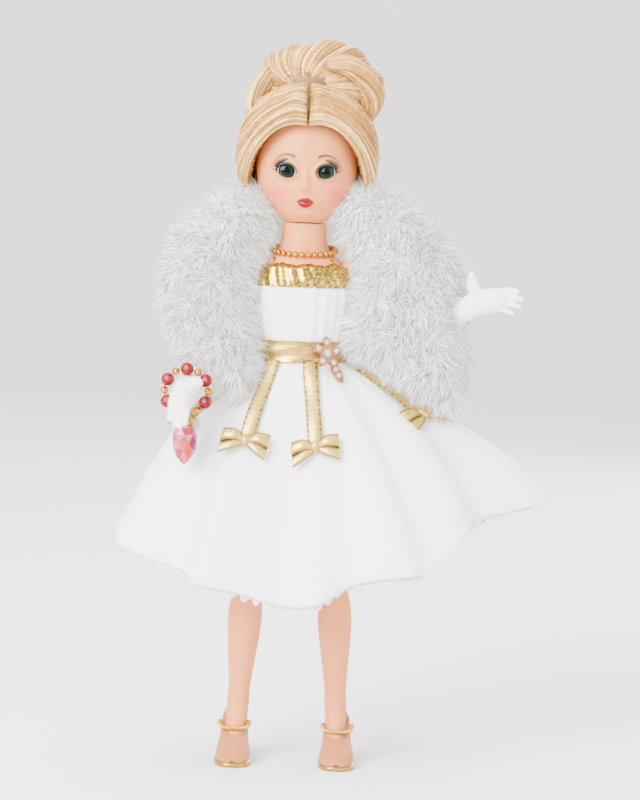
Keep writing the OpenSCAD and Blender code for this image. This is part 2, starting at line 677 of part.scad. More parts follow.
// Two loops, a knot and two tails, drawn flat with Y up
module bow() {
    linear_extrude(1.6, center = true) for (s = sides) {
        polygon([[s * 1.2, -1], [s * 1.2, 1], [s * 7.5, 2.6], [s * 8, -2.4]]);
        polygon([[s * 1.2, -1], [s * 0.6, -1.6], [s * 6, -6], [s * 8.6, -4.4]]);
    }
    cube([3.2, 3.4, 2.6], center = true);
}
module ribbon_bows() color("#E2D292") for (i = [1:ribbons]) {
    a = ribbon_az(i);
    s = ribbon_end + 0.022;
    w = across_at(a, s);
    d = down_at(a, s);
    o = out_at(a, s);
    p = skirt_point(a, s) + o * (1.6 + ribbon_lift);
    multmatrix([[w[0], -d[0], o[0], p[0]], [w[1], -d[1], o[1], p[1]], [w[2], -d[2], o[2], p[2]]]) bow();
}

// ---------- brooch ----------

brooch_place = [9.5, -(belt_in + 0.6) * (body_flat + 0.02) * 0.86 - 1.2, waist_z + 3];
petals = 5;
petal_r = 4.2;
// The brooch leans out at its foot, over the top of the skirt
brooch_turn = 15;
brooch_lean = 24;
brooch_out = 1.5;
module brooch_frame() translate(brooch_place) rotate([0, 0, brooch_turn]) translate([0, -brooch_out, 0])
    rotate([-brooch_lean, 0, 0]) rotate([90, 0, 20]) children();
module brooch_setting() color("#C58A62") brooch_frame() {
    for (i = [0:petals - 1]) rotate([0, 0, i * 360 / petals + 18])
        translate([petal_r, 0, 0]) scale([1.5, 1, 1]) cylinder(r = 1.6, h = 1);
    cylinder(r = petal_r - 1, h = 1);
    rotate([0, 0, -62]) translate([petal_r + 4, 0, 0]) scale([2, 1, 1]) cylinder(r = 1.9, h = 1);
}
module brooch_stones() color("#F4F4FA") brooch_frame() translate([0, 0, 1]) {
    for (i = [0:petals - 1]) rotate([0, 0, i * 360 / petals + 18]) translate([petal_r, 0, 0])
        cylinder(r1 = 1.1, r2 = 0.6, h = 0.8);
    cylinder(r1 = 1.5, r2 = 0.8, h = 1);
    rotate([0, 0, -62]) for (k = [3, 5.4]) translate([petal_r + k - 0.4, 0, 0]) cylinder(r1 = 1, r2 = 0.6, h = 0.8);
}

// ---------- necklace ----------

necklace_z = neck_z - 10;
necklace_beads = floor(PI * necklace_r / pearl_r * 0.97);
// The string lies lower in front than behind
function necklace_point(a) = [necklace_r * cos(a), necklace_r * 0.92 * sin(a) - 0.4, necklace_z + 1.4 * sin(a)];
module necklace_beads() color("#DAA030") for (i = [0:necklace_beads - 1])
    translate(necklace_point(i * 360 / necklace_beads))
        rotate([0, 0, i * 360 / necklace_beads]) rotate([90, 0, 0]) bead(pearl_r - lie_fit / 2, 0.4);
wire_n = 48;
module necklace_wire() color("#B98A2A") {
    wire_r = 0.25;
    ring = function (k) [for (i = [0:wire_n - 1]) let (a = -i * 360 / wire_n, p = necklace_point(a))
        [p[0] + wire_r * cos(k) * cos(a), p[1] + wire_r * cos(k) * sin(a), p[2] + wire_r * sin(k)]];
    closed_tube([for (k = [0:60:300]) ring(k)]);
}
// A closed ring tube from a few rings that run along it
module closed_tube(rings) {
    rows = len(rings);
    cols = len(rings[0]);
    polyhedron([for (ring = rings, p = ring) p], halves(
        [for (i = [0:rows - 1], j = [0:cols - 1]) let (k = (j + 1) % cols, n = (i + 1) % rows)
            [i * cols + j, n * cols + j, n * cols + k, i * cols + k]]));
}

// ---------- bracelet bag ----------

ring_c = arm_right_points[2] + [0, -1.5, -(ring_r - bead_r - wrist_r - glove_t) + 0.2];
bag_pivot = arm_right_points[2] + [0, -1.5, 0];
red_beads = 5;
bead_hole = 0.66;
bag_wire_r = 0.2;
function on_ring(a) = ring_c + [ring_r * cos(a), 0, ring_r * sin(a)];
gold_r = 1.45;
// Red beads every 60 degrees with a gold bead between each two; the cap hangs at the lowest place
module bag_red_beads() color("#C4101E") for (i = [0:red_beads - 1])
    translate(on_ring(i * 60 - 30)) rotate([0, 30 - i * 60, 0]) bead(bead_r, bead_hole);
module bag_gold_beads() color("#D9A441") for (i = [0:red_beads])
    translate(on_ring(i * 60 - 60)) rotate([0, 60 - i * 60, 0]) bead(gold_r, bead_hole);
// A round bead with a hole of radius h along Z
module bead(r, h) rotate_extrude($fn = 28) difference() {
    circle(r);
    translate([-2 * r + h, -r]) square(2 * r);
}
module bag_wire() color("#C9A13A") {
    translate(ring_c) rotate([90, 0, 0]) rotate_extrude() translate([ring_r, 0]) circle(bag_wire_r, $fn = 16);
}
cap_top = ring_c - [0, 0, ring_r + bag_wire_r + lie_fit];
module bag_cap() color("#D9A441") translate(cap_top) {
    translate([0, 0, -3]) cylinder(r1 = 2.6, r2 = 1.2, h = 3);
    translate([0, 0, -3.8]) cylinder(r = 3, h = 0.8);
}
module bag_crystal() color("#F09AA8") translate(cap_top - [0, 0, 3.8]) {
    r = drop_size[0];
    l = drop_size[1];
    rotate_extrude() polygon([[0, 0], [2, 0], [r, -l * 0.42], [r * 0.86, -l * 0.6], [0, -l]]);
}

// ---------- one call a piece ----------

torso_front();
torso_back();
shoulder_elastic();
hip_elastic();
neck_elastic();
bodice();
bodice_band();
shoulder_straps();
belt();
brooch_setting();
brooch_stones();
skirt();
petticoat();
petticoat_lace();
back_snaps();
ribbon_bows();
necklace_beads();
necklace_wire();
stole_back();
streamer(1);  // streamer_1
streamer(2);  // streamer_2
streamer(3);  // streamer_3
streamer(4);  // streamer_4
streamer(5);  // streamer_5
streamer(6);  // streamer_6
streamer(7);  // streamer_7
streamer(8);  // streamer_8
arm(-1);  // arm_right
arm(1);  // arm_left
glove(-1);  // glove_right
glove(1);  // glove_left
stole_half(-1);  // stole_right
stole_half(1);  // stole_left
thigh(-1);  // thigh_right
thigh(1);  // thigh_left
calf(-1);  // calf_right
calf(1);  // calf_left
knee_pin(-1);  // knee_pin_right
knee_pin(1);  // knee_pin_left
shoe_upper(-1);  // shoe_upper_right
shoe_upper(1);  // shoe_upper_left
shoe_sole(-1);  // shoe_sole_right
shoe_sole(1);  // shoe_sole_left
shoe_trim(-1);  // shoe_trim_right
shoe_trim(1);  // shoe_trim_left
bag_red_beads();
bag_gold_beads();
bag_wire();
bag_cap();
bag_crystal();
head_shell();
head_crown();
neck_button();
wig_base();
wig_bun();
earrings();
eyeball(-1);  // eyeball_right
eyeball(1);  // eyeball_left
eye_rocker();
eyelashes();
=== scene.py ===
"""Dresses the jointed fashion doll: skin, face, hair, gown, fur stole, gloves, jewellery and shoes."""
import math

import bpy
import numpy as np
from mathutils import Matrix, Vector
from mathutils.noise import noise


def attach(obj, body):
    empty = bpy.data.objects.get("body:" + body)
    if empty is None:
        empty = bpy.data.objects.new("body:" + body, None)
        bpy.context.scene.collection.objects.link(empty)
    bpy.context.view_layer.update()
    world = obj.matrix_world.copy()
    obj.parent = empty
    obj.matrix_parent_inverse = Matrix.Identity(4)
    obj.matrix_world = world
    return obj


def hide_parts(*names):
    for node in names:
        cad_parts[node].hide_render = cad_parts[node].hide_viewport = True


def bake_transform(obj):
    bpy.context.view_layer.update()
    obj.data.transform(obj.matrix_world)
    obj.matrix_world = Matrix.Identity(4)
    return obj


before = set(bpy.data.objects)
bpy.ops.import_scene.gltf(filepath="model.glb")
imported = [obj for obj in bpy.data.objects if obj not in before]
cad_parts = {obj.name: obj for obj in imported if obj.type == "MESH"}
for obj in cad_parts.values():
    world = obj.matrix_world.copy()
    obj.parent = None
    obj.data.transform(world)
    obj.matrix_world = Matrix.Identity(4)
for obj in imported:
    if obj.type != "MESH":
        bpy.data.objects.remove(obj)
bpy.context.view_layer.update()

bl_info = {
    "name": "Jointed Fashion Doll",
    "version": (1, 0, 0),
    "blender": (4, 5, 0),
    "location": "3D View > Sidebar > Doll",
    "description": "Builds the skin, hair, clothes and jewellery of a jointed fashion doll",
    "category": "Object",
}

MM = 0.001
# The scale of the satin's wave texture, whose bands lie pi / 10 / scale metres apart: 0.29 mm.
SATIN_BANDS = 1 / (0.45 * MM) / 2 / math.pi * 3.1


# ---------- sizes and colours a user would change ----------

def linear(hex_colour):
    """Turns an sRGB hex colour into linear red, green and blue."""
    parts = [int(hex_colour[i:i + 2], 16) / 255 for i in (1, 3, 5)]
    return [p / 12.92 if p <= 0.04045 else ((p + 0.055) / 1.055) ** 2.4 for p in parts]


def colour_property(label, words, hex_colour):
    return bpy.props.FloatVectorProperty(
        name=label, description=words, default=linear(hex_colour), subtype="COLOR", min=0, max=1, size=3)


def length_property(label, words, millimetres):
    return bpy.props.FloatProperty(
        name=label, description=words, default=millimetres * MM, min=0, unit="LENGTH", precision=5)


class DollColours(bpy.types.PropertyGroup):
    skin: colour_property("Skin", "Matte flesh tint of the body", "#D6854F")
    blush: colour_property("Blush", "Sprayed cheek colour", "#E0504C")
    lips: colour_property("Lips", "Painted lip colour", "#7A0009")
    brow: colour_property("Brow", "Painted eyebrow colour", "#5A3218")
    iris: colour_property("Iris", "Eye colour", "#0A2A1C")
    hair: colour_property("Hair", "Wig fibre colour", "#CB8C32")
    fur: colour_property("Fur", "Stole pile colour", "#FFFEFB")
    satin: colour_property("Satin", "Gown cloth colour", "#F8F7F9")
    lame: colour_property("Lame", "Sparkling band colour", "#D2AC48")
    ribbon: colour_property("Ribbon", "Woven gold ribbon colour", "#CDAE54")
    gold: colour_property("Gold", "Plated bead and metal colour", "#C98A1C")
    glove: colour_property("Glove", "Sheer knit glove colour", "#F6EFEE")
    shoe: colour_property("Shoe", "Satin pump colour", "#B47244")


class DollSizes(bpy.types.PropertyGroup):
    fur_length: length_property("Pile length", "Length of the longest fur fibres", 9.5)
    fur_count: bpy.props.IntProperty(
        name="Fur fibres", description="Fibres on each half of the stole", default=56000, min=1000, max=60000)
    hair_strands: bpy.props.IntProperty(
        name="Hair strands", description="Raised strands on the wig", default=2500, min=200, max=4000)
    strand_width: length_property("Strand width", "Width of one raised hair strand", 0.36)
    skirt_folds: bpy.props.IntProperty(
        name="Skirt folds", description="Soft folds round the skirt", default=9, min=5, max=14)
    fold_depth: bpy.props.FloatProperty(
        name="Fold depth", description="Depth of the folds as a share of the reach", default=0.1, min=0, max=0.1)


def sizes():
    return bpy.context.scene.doll_sizes


def colours():
    return bpy.context.scene.doll_colours


# ---------- nodes and materials ----------

def add_node(tree, kind, settings=None, **inputs):
    """Adds one node; settings are its attributes, and each input is a value or a socket to link."""
    node = tree.nodes.new(kind)
    for key, value in (settings or {}).items():
        setattr(node, key, value)
    for key, value in inputs.items():
        name = int(key[1:]) if key[0] == "n" else key.replace("__", " ")
        socket = node.inputs[name]
        if isinstance(value, bpy.types.NodeSocket):
            tree.links.new(value, socket)
        else:
            socket.default_value = value
    return node


def rgba(colour):
    """A colour with its full opacity."""
    return (*colour[:3], 1.0)


def new_material(name, colour, roughness, **sockets):
    """Makes a material with its constant values set on the shader's own sockets."""
    mat = bpy.data.materials.new(name)
    mat.use_nodes = True
    tree = mat.node_tree
    shader = tree.nodes["Principled BSDF"]
    shader.inputs["Base Color"].default_value = rgba(colour)
    shader.inputs["Roughness"].default_value = roughness
    for key, value in sockets.items():
        shader.inputs[key.replace("__", " ")].default_value = value
    return mat, tree, shader


def place(tree):
    """The point on the piece, in its own space."""
    return add_node(tree, "ShaderNodeTexCoord").outputs["Object"]


def spots(tree, size_mm, detail=3.0, vector=None, rough=0.5):
    """Cloudy noise whose features are about size_mm across."""
    return add_node(tree, "ShaderNodeTexNoise", None, Vector=vector or place(tree), Scale=1 / (size_mm * MM),
                    Detail=detail, Roughness=rough)


def ramp(tree, factor, stops):
    """A colour ramp through (position, colour) stops."""
    node = add_node(tree, "ShaderNodeValToRGB", None, Fac=factor)
    while len(node.color_ramp.elements) < len(stops):
        node.color_ramp.elements.new(0.5)
    for element, (position, colour) in zip(node.color_ramp.elements, stops):
        element.position = position
        element.color = rgba(colour)
    return node.outputs["Color"]


def shade(colour, factor):
    """A colour made darker or lighter."""
    return [min(1.0, c * factor) for c in colour[:3]]


def bump(tree, shader, height, strength, depth_mm):
    node = add_node(tree, "ShaderNodeBump", None, Height=height, Strength=strength, Distance=depth_mm * MM)
    tree.links.new(node.outputs["Normal"], shader.inputs["Normal"])
    return node


def paint(tree, shader, factor, stops):
    """Sends a colour ramp over the factor to the shader's base colour."""
    tree.links.new(ramp(tree, factor, stops), shader.inputs["Base Color"])


def math_node(tree, operation, *values):
    """The result of one sum; each value is a number or a socket."""
    inputs = {f"n{i}": value for i, value in enumerate(values)}
    return add_node(tree, "ShaderNodeMath", {"operation": operation}, **inputs).outputs[0]


def mix_colour(tree, factor, a, b):
    node = add_node(tree, "ShaderNodeMix", {"data_type": "RGBA"}, n0=factor, n6=a, n7=b)
    return node.outputs[2]


def attribute(tree, name):
    return add_node(tree, "ShaderNodeAttribute", {"attribute_name": name}).outputs["Fac"]


SKIN_LIGHT = {"Subsurface__Weight": 0.12, "Subsurface__Scale": 0.002, "Subsurface__Radius": (1.0, 0.4, 0.25),
              "IOR": 1.5, "Specular__IOR__Level": 0.3}


def skin_material():
    """Bisque porcelain, cast and tinted: matte, with a faint mottling and light under the surface."""
    tint = list(colours().skin)
    mat, tree, shader = new_material("bisque_tinted", tint, 0.5, **SKIN_LIGHT)
    paint(tree, shader, spots(tree, 9).outputs["Fac"], [(0.3, shade(tint, 0.95)), (0.7, shade(tint, 1.03))])
    bump(tree, shader, spots(tree, 0.5).outputs["Fac"], 0.05, 0.05)
    return mat


def face_material():
    """The same bisque with china paint fired on: lips, cheeks and brows, each a little glossier."""
    tint = list(colours().skin)
    mat, tree, shader = new_material("bisque_china_painted", tint, 0.45, **SKIN_LIGHT)
    base = ramp(tree, spots(tree, 9).outputs["Fac"], [(0.3, shade(tint, 0.97)), (0.7, shade(tint, 1.03))])
    for paint_name, colour in (("blush", colours().blush), ("brow", colours().brow), ("liner", linear("#4A2E24")),
                               ("lips", colours().lips)):
        base = mix_colour(tree, attribute(tree, paint_name), base, rgba(colour))
    tree.links.new(base, shader.inputs["Base Color"])
    gloss = add_node(tree, "ShaderNodeMapRange", None, Value=attribute(tree, "lips"), To__Min=0.46, To__Max=0.25)
    tree.links.new(gloss.outputs["Result"], shader.inputs["Roughness"])
    bump(tree, shader, spots(tree, 0.5).outputs["Fac"], 0.04, 0.05)
    return mat


def satin_material():
    """Polyester bridal satin, woven: a soft sheen, a fine weave and broad faint creases."""
    base = list(colours().satin)
    mat, tree, shader = new_material("satin_white_woven", base, 0.5, Sheen__Weight=0.35, Sheen__Roughness=0.4)
    paint(tree, shader, spots(tree, 14).outputs["Fac"], [(0.3, shade(base, 0.965)), (0.7, base)])
    # The threads are 0.1 mm apart, too fine to show, so they are drawn about 0.3 mm apart.
    weave = add_node(tree, "ShaderNodeTexWave", {"bands_direction": "Z"}, Vector=place(tree), Scale=SATIN_BANDS,
                     Distortion=1.2, Detail=2.0)
    both = math_node(tree, "ADD", weave.outputs["Fac"], spots(tree, 3.5).outputs["Fac"])
    bump(tree, shader, both, 0.16, 0.12)
    return mat


def net_material():
    """Nylon net and lace, knitted: white and matt, with small raised cells."""
    mat, tree, shader = new_material("nylon_lace_knitted", linear("#FBFAF8"), 0.7, Sheen__Weight=0.2)
    holes = add_node(tree, "ShaderNodeTexVoronoi", {"feature": "DISTANCE_TO_EDGE"}, Vector=place(tree),
                     Scale=1 / (1.3 * MM))
    bump(tree, shader, holes.outputs["Distance"], 0.5, 0.3)
    paint(tree, shader, holes.outputs["Distance"], [(0.0, linear("#FFFFFF")), (0.35, linear("#E9E7E6"))])
    return mat


def lame_material():
    """Sequin-dot lame, foil on knit: each flake tilts its own way, so it glitters from every side; each flake's lighter
    middle is a painted glint and its darker edge a painted shade.
    """
    base = list(colours().lame)
    mat, tree, shader = new_material("lame_sequin_foil", base, 0.24, Metallic=1.0)
    flakes = add_node(tree, "ShaderNodeTexVoronoi", None, Vector=place(tree), Scale=1 / (1.05 * MM))
    # Each flake is painted lighter in its middle, a painted glint, and darker at its edge, painted shade between the
    # flakes.
    paint(tree, shader, flakes.outputs["Distance"],
          [(0.0, shade(base, 1.5)), (0.32, base), (0.6, shade(base, 0.42))])
    bump(tree, shader, flakes.outputs["Color"], 0.9, 0.35)
    return mat


def ribbon_material():
    """Metallised ribbon, woven: pale gold with a diamond figure and a dotted darker selvedge."""
    base = list(colours().ribbon)
    mat, tree, shader = new_material("ribbon_woven_gold", base, 0.36, Metallic=0.75)
    figure = add_node(tree, "ShaderNodeTexChecker", None, Vector=place(tree), Scale=1 / (0.75 * MM))
    tone = mix_colour(tree, figure.outputs["Fac"], rgba(shade(base, 0.82)), rgba(shade(base, 1.18)))
    dots = math_node(tree, "MULTIPLY", attribute(tree, "selvedge"), attribute(tree, "dots"))
    tone = mix_colour(tree, dots, tone, rgba(linear("#7D5A1C")))
    tree.links.new(tone, shader.inputs["Base Color"])
    both = math_node(tree, "ADD", figure.outputs["Fac"], spots(tree, 0.6).outputs["Fac"])
    bump(tree, shader, both, 0.35, 0.12)
    return mat


def belt_material():
    """Metallic satin ribbon, woven: a smooth deep gold with fine ribs along it."""
    base = linear("#B8954A")
    mat, tree, shader = new_material("satin_ribbon_gold", base, 0.3, Metallic=0.85)
    paint(tree, shader, spots(tree, 5, 4).outputs["Fac"], [(0.3, shade(base, 0.72)), (0.7, shade(base, 1.2))])
    ribs = add_node(tree, "ShaderNodeTexWave", {"bands_direction": "Z"}, Vector=place(tree), Scale=330.0,
                    Distortion=0.4)
    bump(tree, shader, ribs.outputs["Fac"], 0.25, 0.12)
    return mat


def metal_material(name, colour, roughness=0.2):
    """Plated metal, polished: smooth with faint handling marks."""
    mat, tree, shader = new_material(name, colour, roughness, Metallic=1.0)
    paint(tree, shader, spots(tree, 1.2, 5).outputs["Fac"], [(0.35, shade(colour, 0.8)), (0.65, colour)])
    bump(tree, shader, spots(tree, 0.7).outputs["Fac"], 0.1, 0.05)
    return mat


def hair_material():
    """Modacrylic fibre, drawn and set: silky, with lighter and darker strands lying along each other."""
    base = list(colours().hair)
    mat, tree, shader = new_material("wig_fibre_set", base, 0.4, Specular__IOR__Level=0.35, Anisotropic=0.4)
    cloudy = math_node(tree, "MULTIPLY", spots(tree, 3.2, 3).outputs["Fac"], 0.4)
    both = math_node(tree, "MULTIPLY_ADD", attribute(tree, "strand"), 0.65, cloudy)
    paint(tree, shader, both, [(0.12, shade(base, 0.3)), (0.4, shade(base, 0.72)), (0.62, shade(base, 1.1)),
                               (0.85, linear("#FCE3A0"))])
    return mat


def fur_material():
    """Acrylic faux fur, long pile: white and matt, with a painted glow, a faint emission that stands in for light
    passed on from fibre to fibre, and painted shade toward the roots.
    """
    base = list(colours().fur)
    # The emission is a painted glow that stands in for the light passed on between the fibres.
    mat, tree, shader = new_material("acrylic_fur_pile", base, 0.9, Sheen__Weight=0.4, Specular__IOR__Level=0.1,
                                     Emission__Strength=0.6, Emission__Color=rgba(linear("#FFF6E8")))
    # The pile is painted a little darker toward its roots: painted shade deep in the pile.
    depth = ramp(tree, attribute(tree, "tip"), [(0.0, linear("#F3F0E8")), (0.45, linear("#FAF9F4")), (1.0, base)])
    patch = mix_colour(tree, attribute(tree, "tuft"), depth, rgba(linear("#FFFFFF")))
    tree.links.new(patch, shader.inputs["Base Color"])
    return mat


def glove_material():
    """Sheer nylon knit over flesh: white with the warmth of the hand showing through."""
    base = list(colours().glove)
    mat, tree, shader = new_material("nylon_glove_knit", base, 0.6, Sheen__Weight=0.3, Subsurface__Weight=0.1,
                                     Subsurface__Scale=0.001)
    knit = add_node(tree, "ShaderNodeTexChecker", None, Vector=place(tree), Scale=1 / (0.35 * MM))
    paint(tree, shader, spots(tree, 2.5).outputs["Fac"], [(0.3, shade(base, 0.93)), (0.7, base)])
    bump(tree, shader, knit.outputs["Fac"], 0.12, 0.05)
    return mat


def shoe_material():
    """Satin pump cloth, woven and lasted: tan with a soft sheen and a fine grain."""
    base = list(colours().shoe)
    mat, tree, shader = new_material("pump_satin_tan", base, 0.5, Sheen__Weight=0.1, Specular__IOR__Level=0.25)
    paint(tree, shader, spots(tree, 4).outputs["Fac"], [(0.3, shade(base, 0.9)), (0.7, shade(base, 1.06))])
    bump(tree, shader, spots(tree, 0.4).outputs["Fac"], 0.25, 0.08)
    return mat


def glass_material(name, colour, roughness=0.04, transmission=0.5):
    """Cast glass, cut and polished: sharp facets with colour inside."""
    mat, tree, shader = new_material(name, colour, roughness, IOR=1.55, Transmission__Weight=transmission,
                                     Specular__IOR__Level=0.15)
    paint(tree, shader, spots(tree, 1.5).outputs["Fac"], [(0.35, shade(colour, 0.75)), (0.65, shade(colour, 1.2))])
    return mat


def crystal_material():
    """Lead glass with an iridescent coating: rose, orange and violet from facet to facet."""
    mat, tree, shader = new_material("crystal_iridescent_cut", linear("#F7A0A4"), 0.06, IOR=1.6,
                                     Specular__IOR__Level=0.2)
    hues = ("#A01028", "#C84A10", "#C86A80", "#800C50", "#C87418")
    paint(tree, shader, attribute(tree, "facet"), [(i / 4, linear(hue)) for i, hue in enumerate(hues)])
    return mat


def plain_material(name, colour, roughness, **sockets):
    """Moulded or sheet stock with a faint variation, for small working pieces."""
    mat, tree, shader = new_material(name, colour, roughness, **sockets)
    paint(tree, shader, spots(tree, 2).outputs["Fac"], [(0.3, shade(colour, 0.85)), (0.7, shade(colour, 1.1))])
    return mat


# ---------- mesh helpers; every length below is in millimetres ----------

def mesh_piece(name, points, faces, material, smooth=True, values=None):
    """Makes a mesh object; values are named numbers, one for each point."""
    mesh = bpy.data.meshes.new(name)
    mesh.from_pydata((np.asarray(points, float) * MM).tolist(), [], [tuple(int(i) for i in f) for f in faces])
    for key, numbers in (values or {}).items():
        layer = mesh.attributes.new(key, "FLOAT", "POINT")
        layer.data.foreach_set("value", np.asarray(numbers, np.float32))
    mesh.materials.append(material)
    mesh.polygons.foreach_set("use_smooth", [smooth] * len(mesh.polygons))
    mesh.validate()
    obj = bpy.data.objects.new(name, mesh)
    bpy.context.scene.collection.objects.link(obj)
    return obj


def finish_piece(obj, body, slot, *nodes):
    """Rides the piece on its body and hides the nodes it stands for; slot, its finish, is not used."""
    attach(obj, body)
    if nodes:
        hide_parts(*nodes)
    return obj


def grid_faces(rows, columns, wrap=False):
    """Quads of a grid whose points run along each row in turn."""
    out = []
    for i in range(rows - 1):
        for j in range(columns if wrap else columns - 1):
            k = (j + 1) % columns
            out.append((i * columns + j, i * columns + k, (i + 1) * columns + k, (i + 1) * columns + j))
    return out


def unit(v):
    v = np.asarray(v, float)
    return v / np.maximum(np.linalg.norm(v, axis=-1, keepdims=True), 1e-9)


def curve_through(points, count):
    """A smooth line of count points through the given ones, whatever numbers each point holds."""
    p = np.asarray(points, float)
    p = np.vstack([2 * p[0] - p[1], p, 2 * p[-1] - p[-2]])
    out = []
    for t in np.linspace(0, len(p) - 3 - 1e-9, count):
        i, f = int(t), t - int(t)
        a, b, c, d = p[i:i + 4]
        out.append(0.5 * (2 * b + (c - a) * f + (2 * a - 5 * b + 4 * c - d) * f * f + (3 * b - a - 3 * c + d) * f ** 3))
    return np.array(out)


def tube(line, radii, sides=12, flat=1.0, up=(0, 0, 1)):
    """Points and faces of a closed tube along a line; flat squeezes it along up."""
    line = np.asarray(line, float)
    along = unit(np.gradient(line, axis=0))
    across = unit(np.cross(along, np.asarray(up, float)))
    over = np.cross(across, along)
    angle = np.linspace(0, 2 * math.pi, sides, endpoint=False)
    radii = np.broadcast_to(np.asarray(radii, float), len(line))
    rings = (line[:, None] + radii[:, None, None] * (np.cos(angle)[None, :, None] * across[:, None]
                                                    + flat * np.sin(angle)[None, :, None] * over[:, None]))
    points = np.vstack([rings.reshape(-1, 3), line[:1], line[-1:]])
    faces = grid_faces(len(line), sides, wrap=True)
    end = (len(line) - 1) * sides
    for j in range(sides):
        k = (j + 1) % sides
        faces.append((end + sides, k, j))
        faces.append((end + sides + 1, end + j, end + k))
    return points, faces


def joined(parts):
    """One list of points and one of faces from several, each a pair that counts from nought."""
    points, faces, start = [], [], 0
    for p, f in parts:
        points.append(np.asarray(p, float))
        faces.extend(tuple(i + start for i in face) for face in f)
        start += len(p)
    return np.vstack(points), faces


def ball(centre, radii, rows=14, columns=20):
    """Points and faces of an egg."""
    el = np.linspace(-math.pi / 2 + 0.02, math.pi / 2 - 0.02, rows)
    az = np.linspace(0, 2 * math.pi, columns, endpoint=False)
    e, a = np.meshgrid(el, az, indexing="ij")
    p = np.stack([np.cos(e) * np.cos(a), np.cos(e) * np.sin(a), np.sin(e)], -1).reshape(-1, 3)
    faces = grid_faces(rows, columns, wrap=True)
    faces.append(tuple(range(columns))[::-1])
    faces.append(tuple(range((rows - 1) * columns, rows * columns)))
    return p * np.asarray(radii) + np.asarray(centre), faces


def trimmed(points, faces, *values):
    """Leaves out the points that no face uses."""
    used = sorted({i for f in faces for i in f})
    new = {old: i for i, old in enumerate(used)}
    return (np.asarray(points)[used], [tuple(new[i] for i in f) for f in faces],
            *[np.asarray(v)[used] for v in values])


def open_rim(faces, count):
    """Walls from a sheet's open edges to those of its copy, whose points come count later."""
    edges = dict.fromkeys((f[i], f[(i + 1) % len(f)]) for f in faces for i in range(len(f)))
    return [(b, a, a + count, b + count) for a, b in edges if (b, a) not in edges]


def fuse(obj, material, voxel_mm, smooth_rounds):
    """Melts the overlapping forms of one mesh into a single skin of one material."""
    remesh = obj.modifiers.new("fuse", "REMESH")
    remesh.mode = "VOXEL"
    remesh.voxel_size = voxel_mm * MM
    soften = obj.modifiers.new("soften", "SMOOTH")
    soften.factor = 0.5
    soften.iterations = smooth_rounds
    bpy.context.view_layer.update()
    done = bpy.data.meshes.new_from_object(obj.evaluated_get(bpy.context.evaluated_depsgraph_get()))
    obj.modifiers.clear()
    obj.data = done
    done.polygons.foreach_set("use_smooth", [True] * len(done.polygons))
    done.materials.clear()
    done.materials.append(material)


def dress(node, material):
    """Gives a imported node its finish."""
    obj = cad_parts[node]
    if not obj.material_slots:
        obj.data.materials.append(material)
    for entry in obj.material_slots:
        entry.material = material


def thick(points, faces, rows, columns, normals, thickness, wrap):
    """Closes a grid into a cloth of the given thickness; normals point to the outside."""
    inner = points - normals * thickness
    count = len(points)
    back = [tuple(i + count for i in f[::-1]) for f in faces]
    rim = []
    for j in range(columns if wrap else columns - 1):
        k = (j + 1) % columns
        rim.append((k, j, j + count, k + count))
        low = (rows - 1) * columns
        rim.append((low + j, low + k, low + k + count, low + j + count))
    if not wrap:
        for i in range(rows - 1):
            a, b = i * columns, (i + 1) * columns
            rim.append((a, b, b + count, a + count))
            a, b = a + columns - 1, b + columns - 1
            rim.append((b, a, a + count, b + count))
    return np.vstack([points, inner]), list(faces) + back + rim


# ---------- the doll's own measures ----------

WAIST_Z = 152.5
# The waist's half width and half depth where the skirt starts.
WAIST_R = (16.8, 12.6)
EYE_X, EYE_Y, EYE_Z = 7.3, -11.666, 221.9
HEAD_C = np.array([0, 0.5, 225.4])
# The hem: azimuth, reach from the axis, height.
HEM = np.array([[0, 88, 104], [40, 80, 84], [65, 72, 72], [90, 67, 70], [135, 66, 74], [180, 68, 88], [225, 53, 73],
                [270, 45, 65.5], [315, 63, 79], [340, 77, 97], [360, 88, 104]], float)
# The body from hip to neck: half width, height. It is flatter from front to back by BODY_FLAT.
BODY = np.array([[8, 129], [13, 132], [16, 138], [17, 145], [15.9, 149.5], [15.5, 154.5], [16.7, 162.5],
                 [18.4, 172], [19, 177], [17.8, 182], [15.8, 187], [8.9, 190]], float)
BODY_FLAT = 0.75


def hem_at(a, column):
    """The hem's reach (column 1) or height (column 2) at azimuth a, eased between its measures."""
    w = np.mod(a, 360)
    i = np.clip(np.searchsorted(HEM[:, 0], w, side="right") - 1, 0, len(HEM) - 2)
    t = (w - HEM[i, 0]) / (HEM[i + 1, 0] - HEM[i, 0])
    u = (1 - np.cos(math.pi * t)) / 2
    return HEM[i, column] * (1 - u) + HEM[i + 1, column] * u


def skirt_point(a, s, d=0.0):
    """Points of the skirt at azimuth a in degrees, share s of the way down, in by d."""
    a, s = np.broadcast_arrays(np.asarray(a, float), np.asarray(s, float))
    r = np.radians(a)
    depth = sizes().fold_depth
    wide = depth * np.cos(np.radians(sizes().skirt_folds * a + 30 + 14 * np.sin(2 * r)))
    narrow = 0.5 * depth * np.cos(np.radians(14 * a + 50 + 40 * np.sin(r)))
    gathers = 0.022 * np.exp(-((s - 0.12) / 0.13) ** 2) * np.cos(np.radians(34 * a + 50 * np.sin(3 * r)))
    folds = 1 + s * (0.72 * wide + narrow * (1 - 0.5 * s)) + gathers
    reach = hem_at(a, 1) * folds
    top = WAIST_Z - 0.2
    f = s * (1.35 - 0.35 * s)
    g = s * (0.8 + 0.2 * s)
    rx, ry = (waist + (reach - waist) * f - d for waist in WAIST_R)
    return np.stack([rx * np.cos(r), ry * np.sin(r), top - (top - hem_at(a, 2)) * g - d * 0.3], -1)


def skirt_frame(a, s):
    """Across, down and out at a point of the skirt."""
    across = unit(skirt_point(a + 0.6, s) - skirt_point(a - 0.6, s))
    down = unit(skirt_point(a, s + 0.006) - skirt_point(a, s - 0.006))
    return across, down, unit(np.cross(down, across))


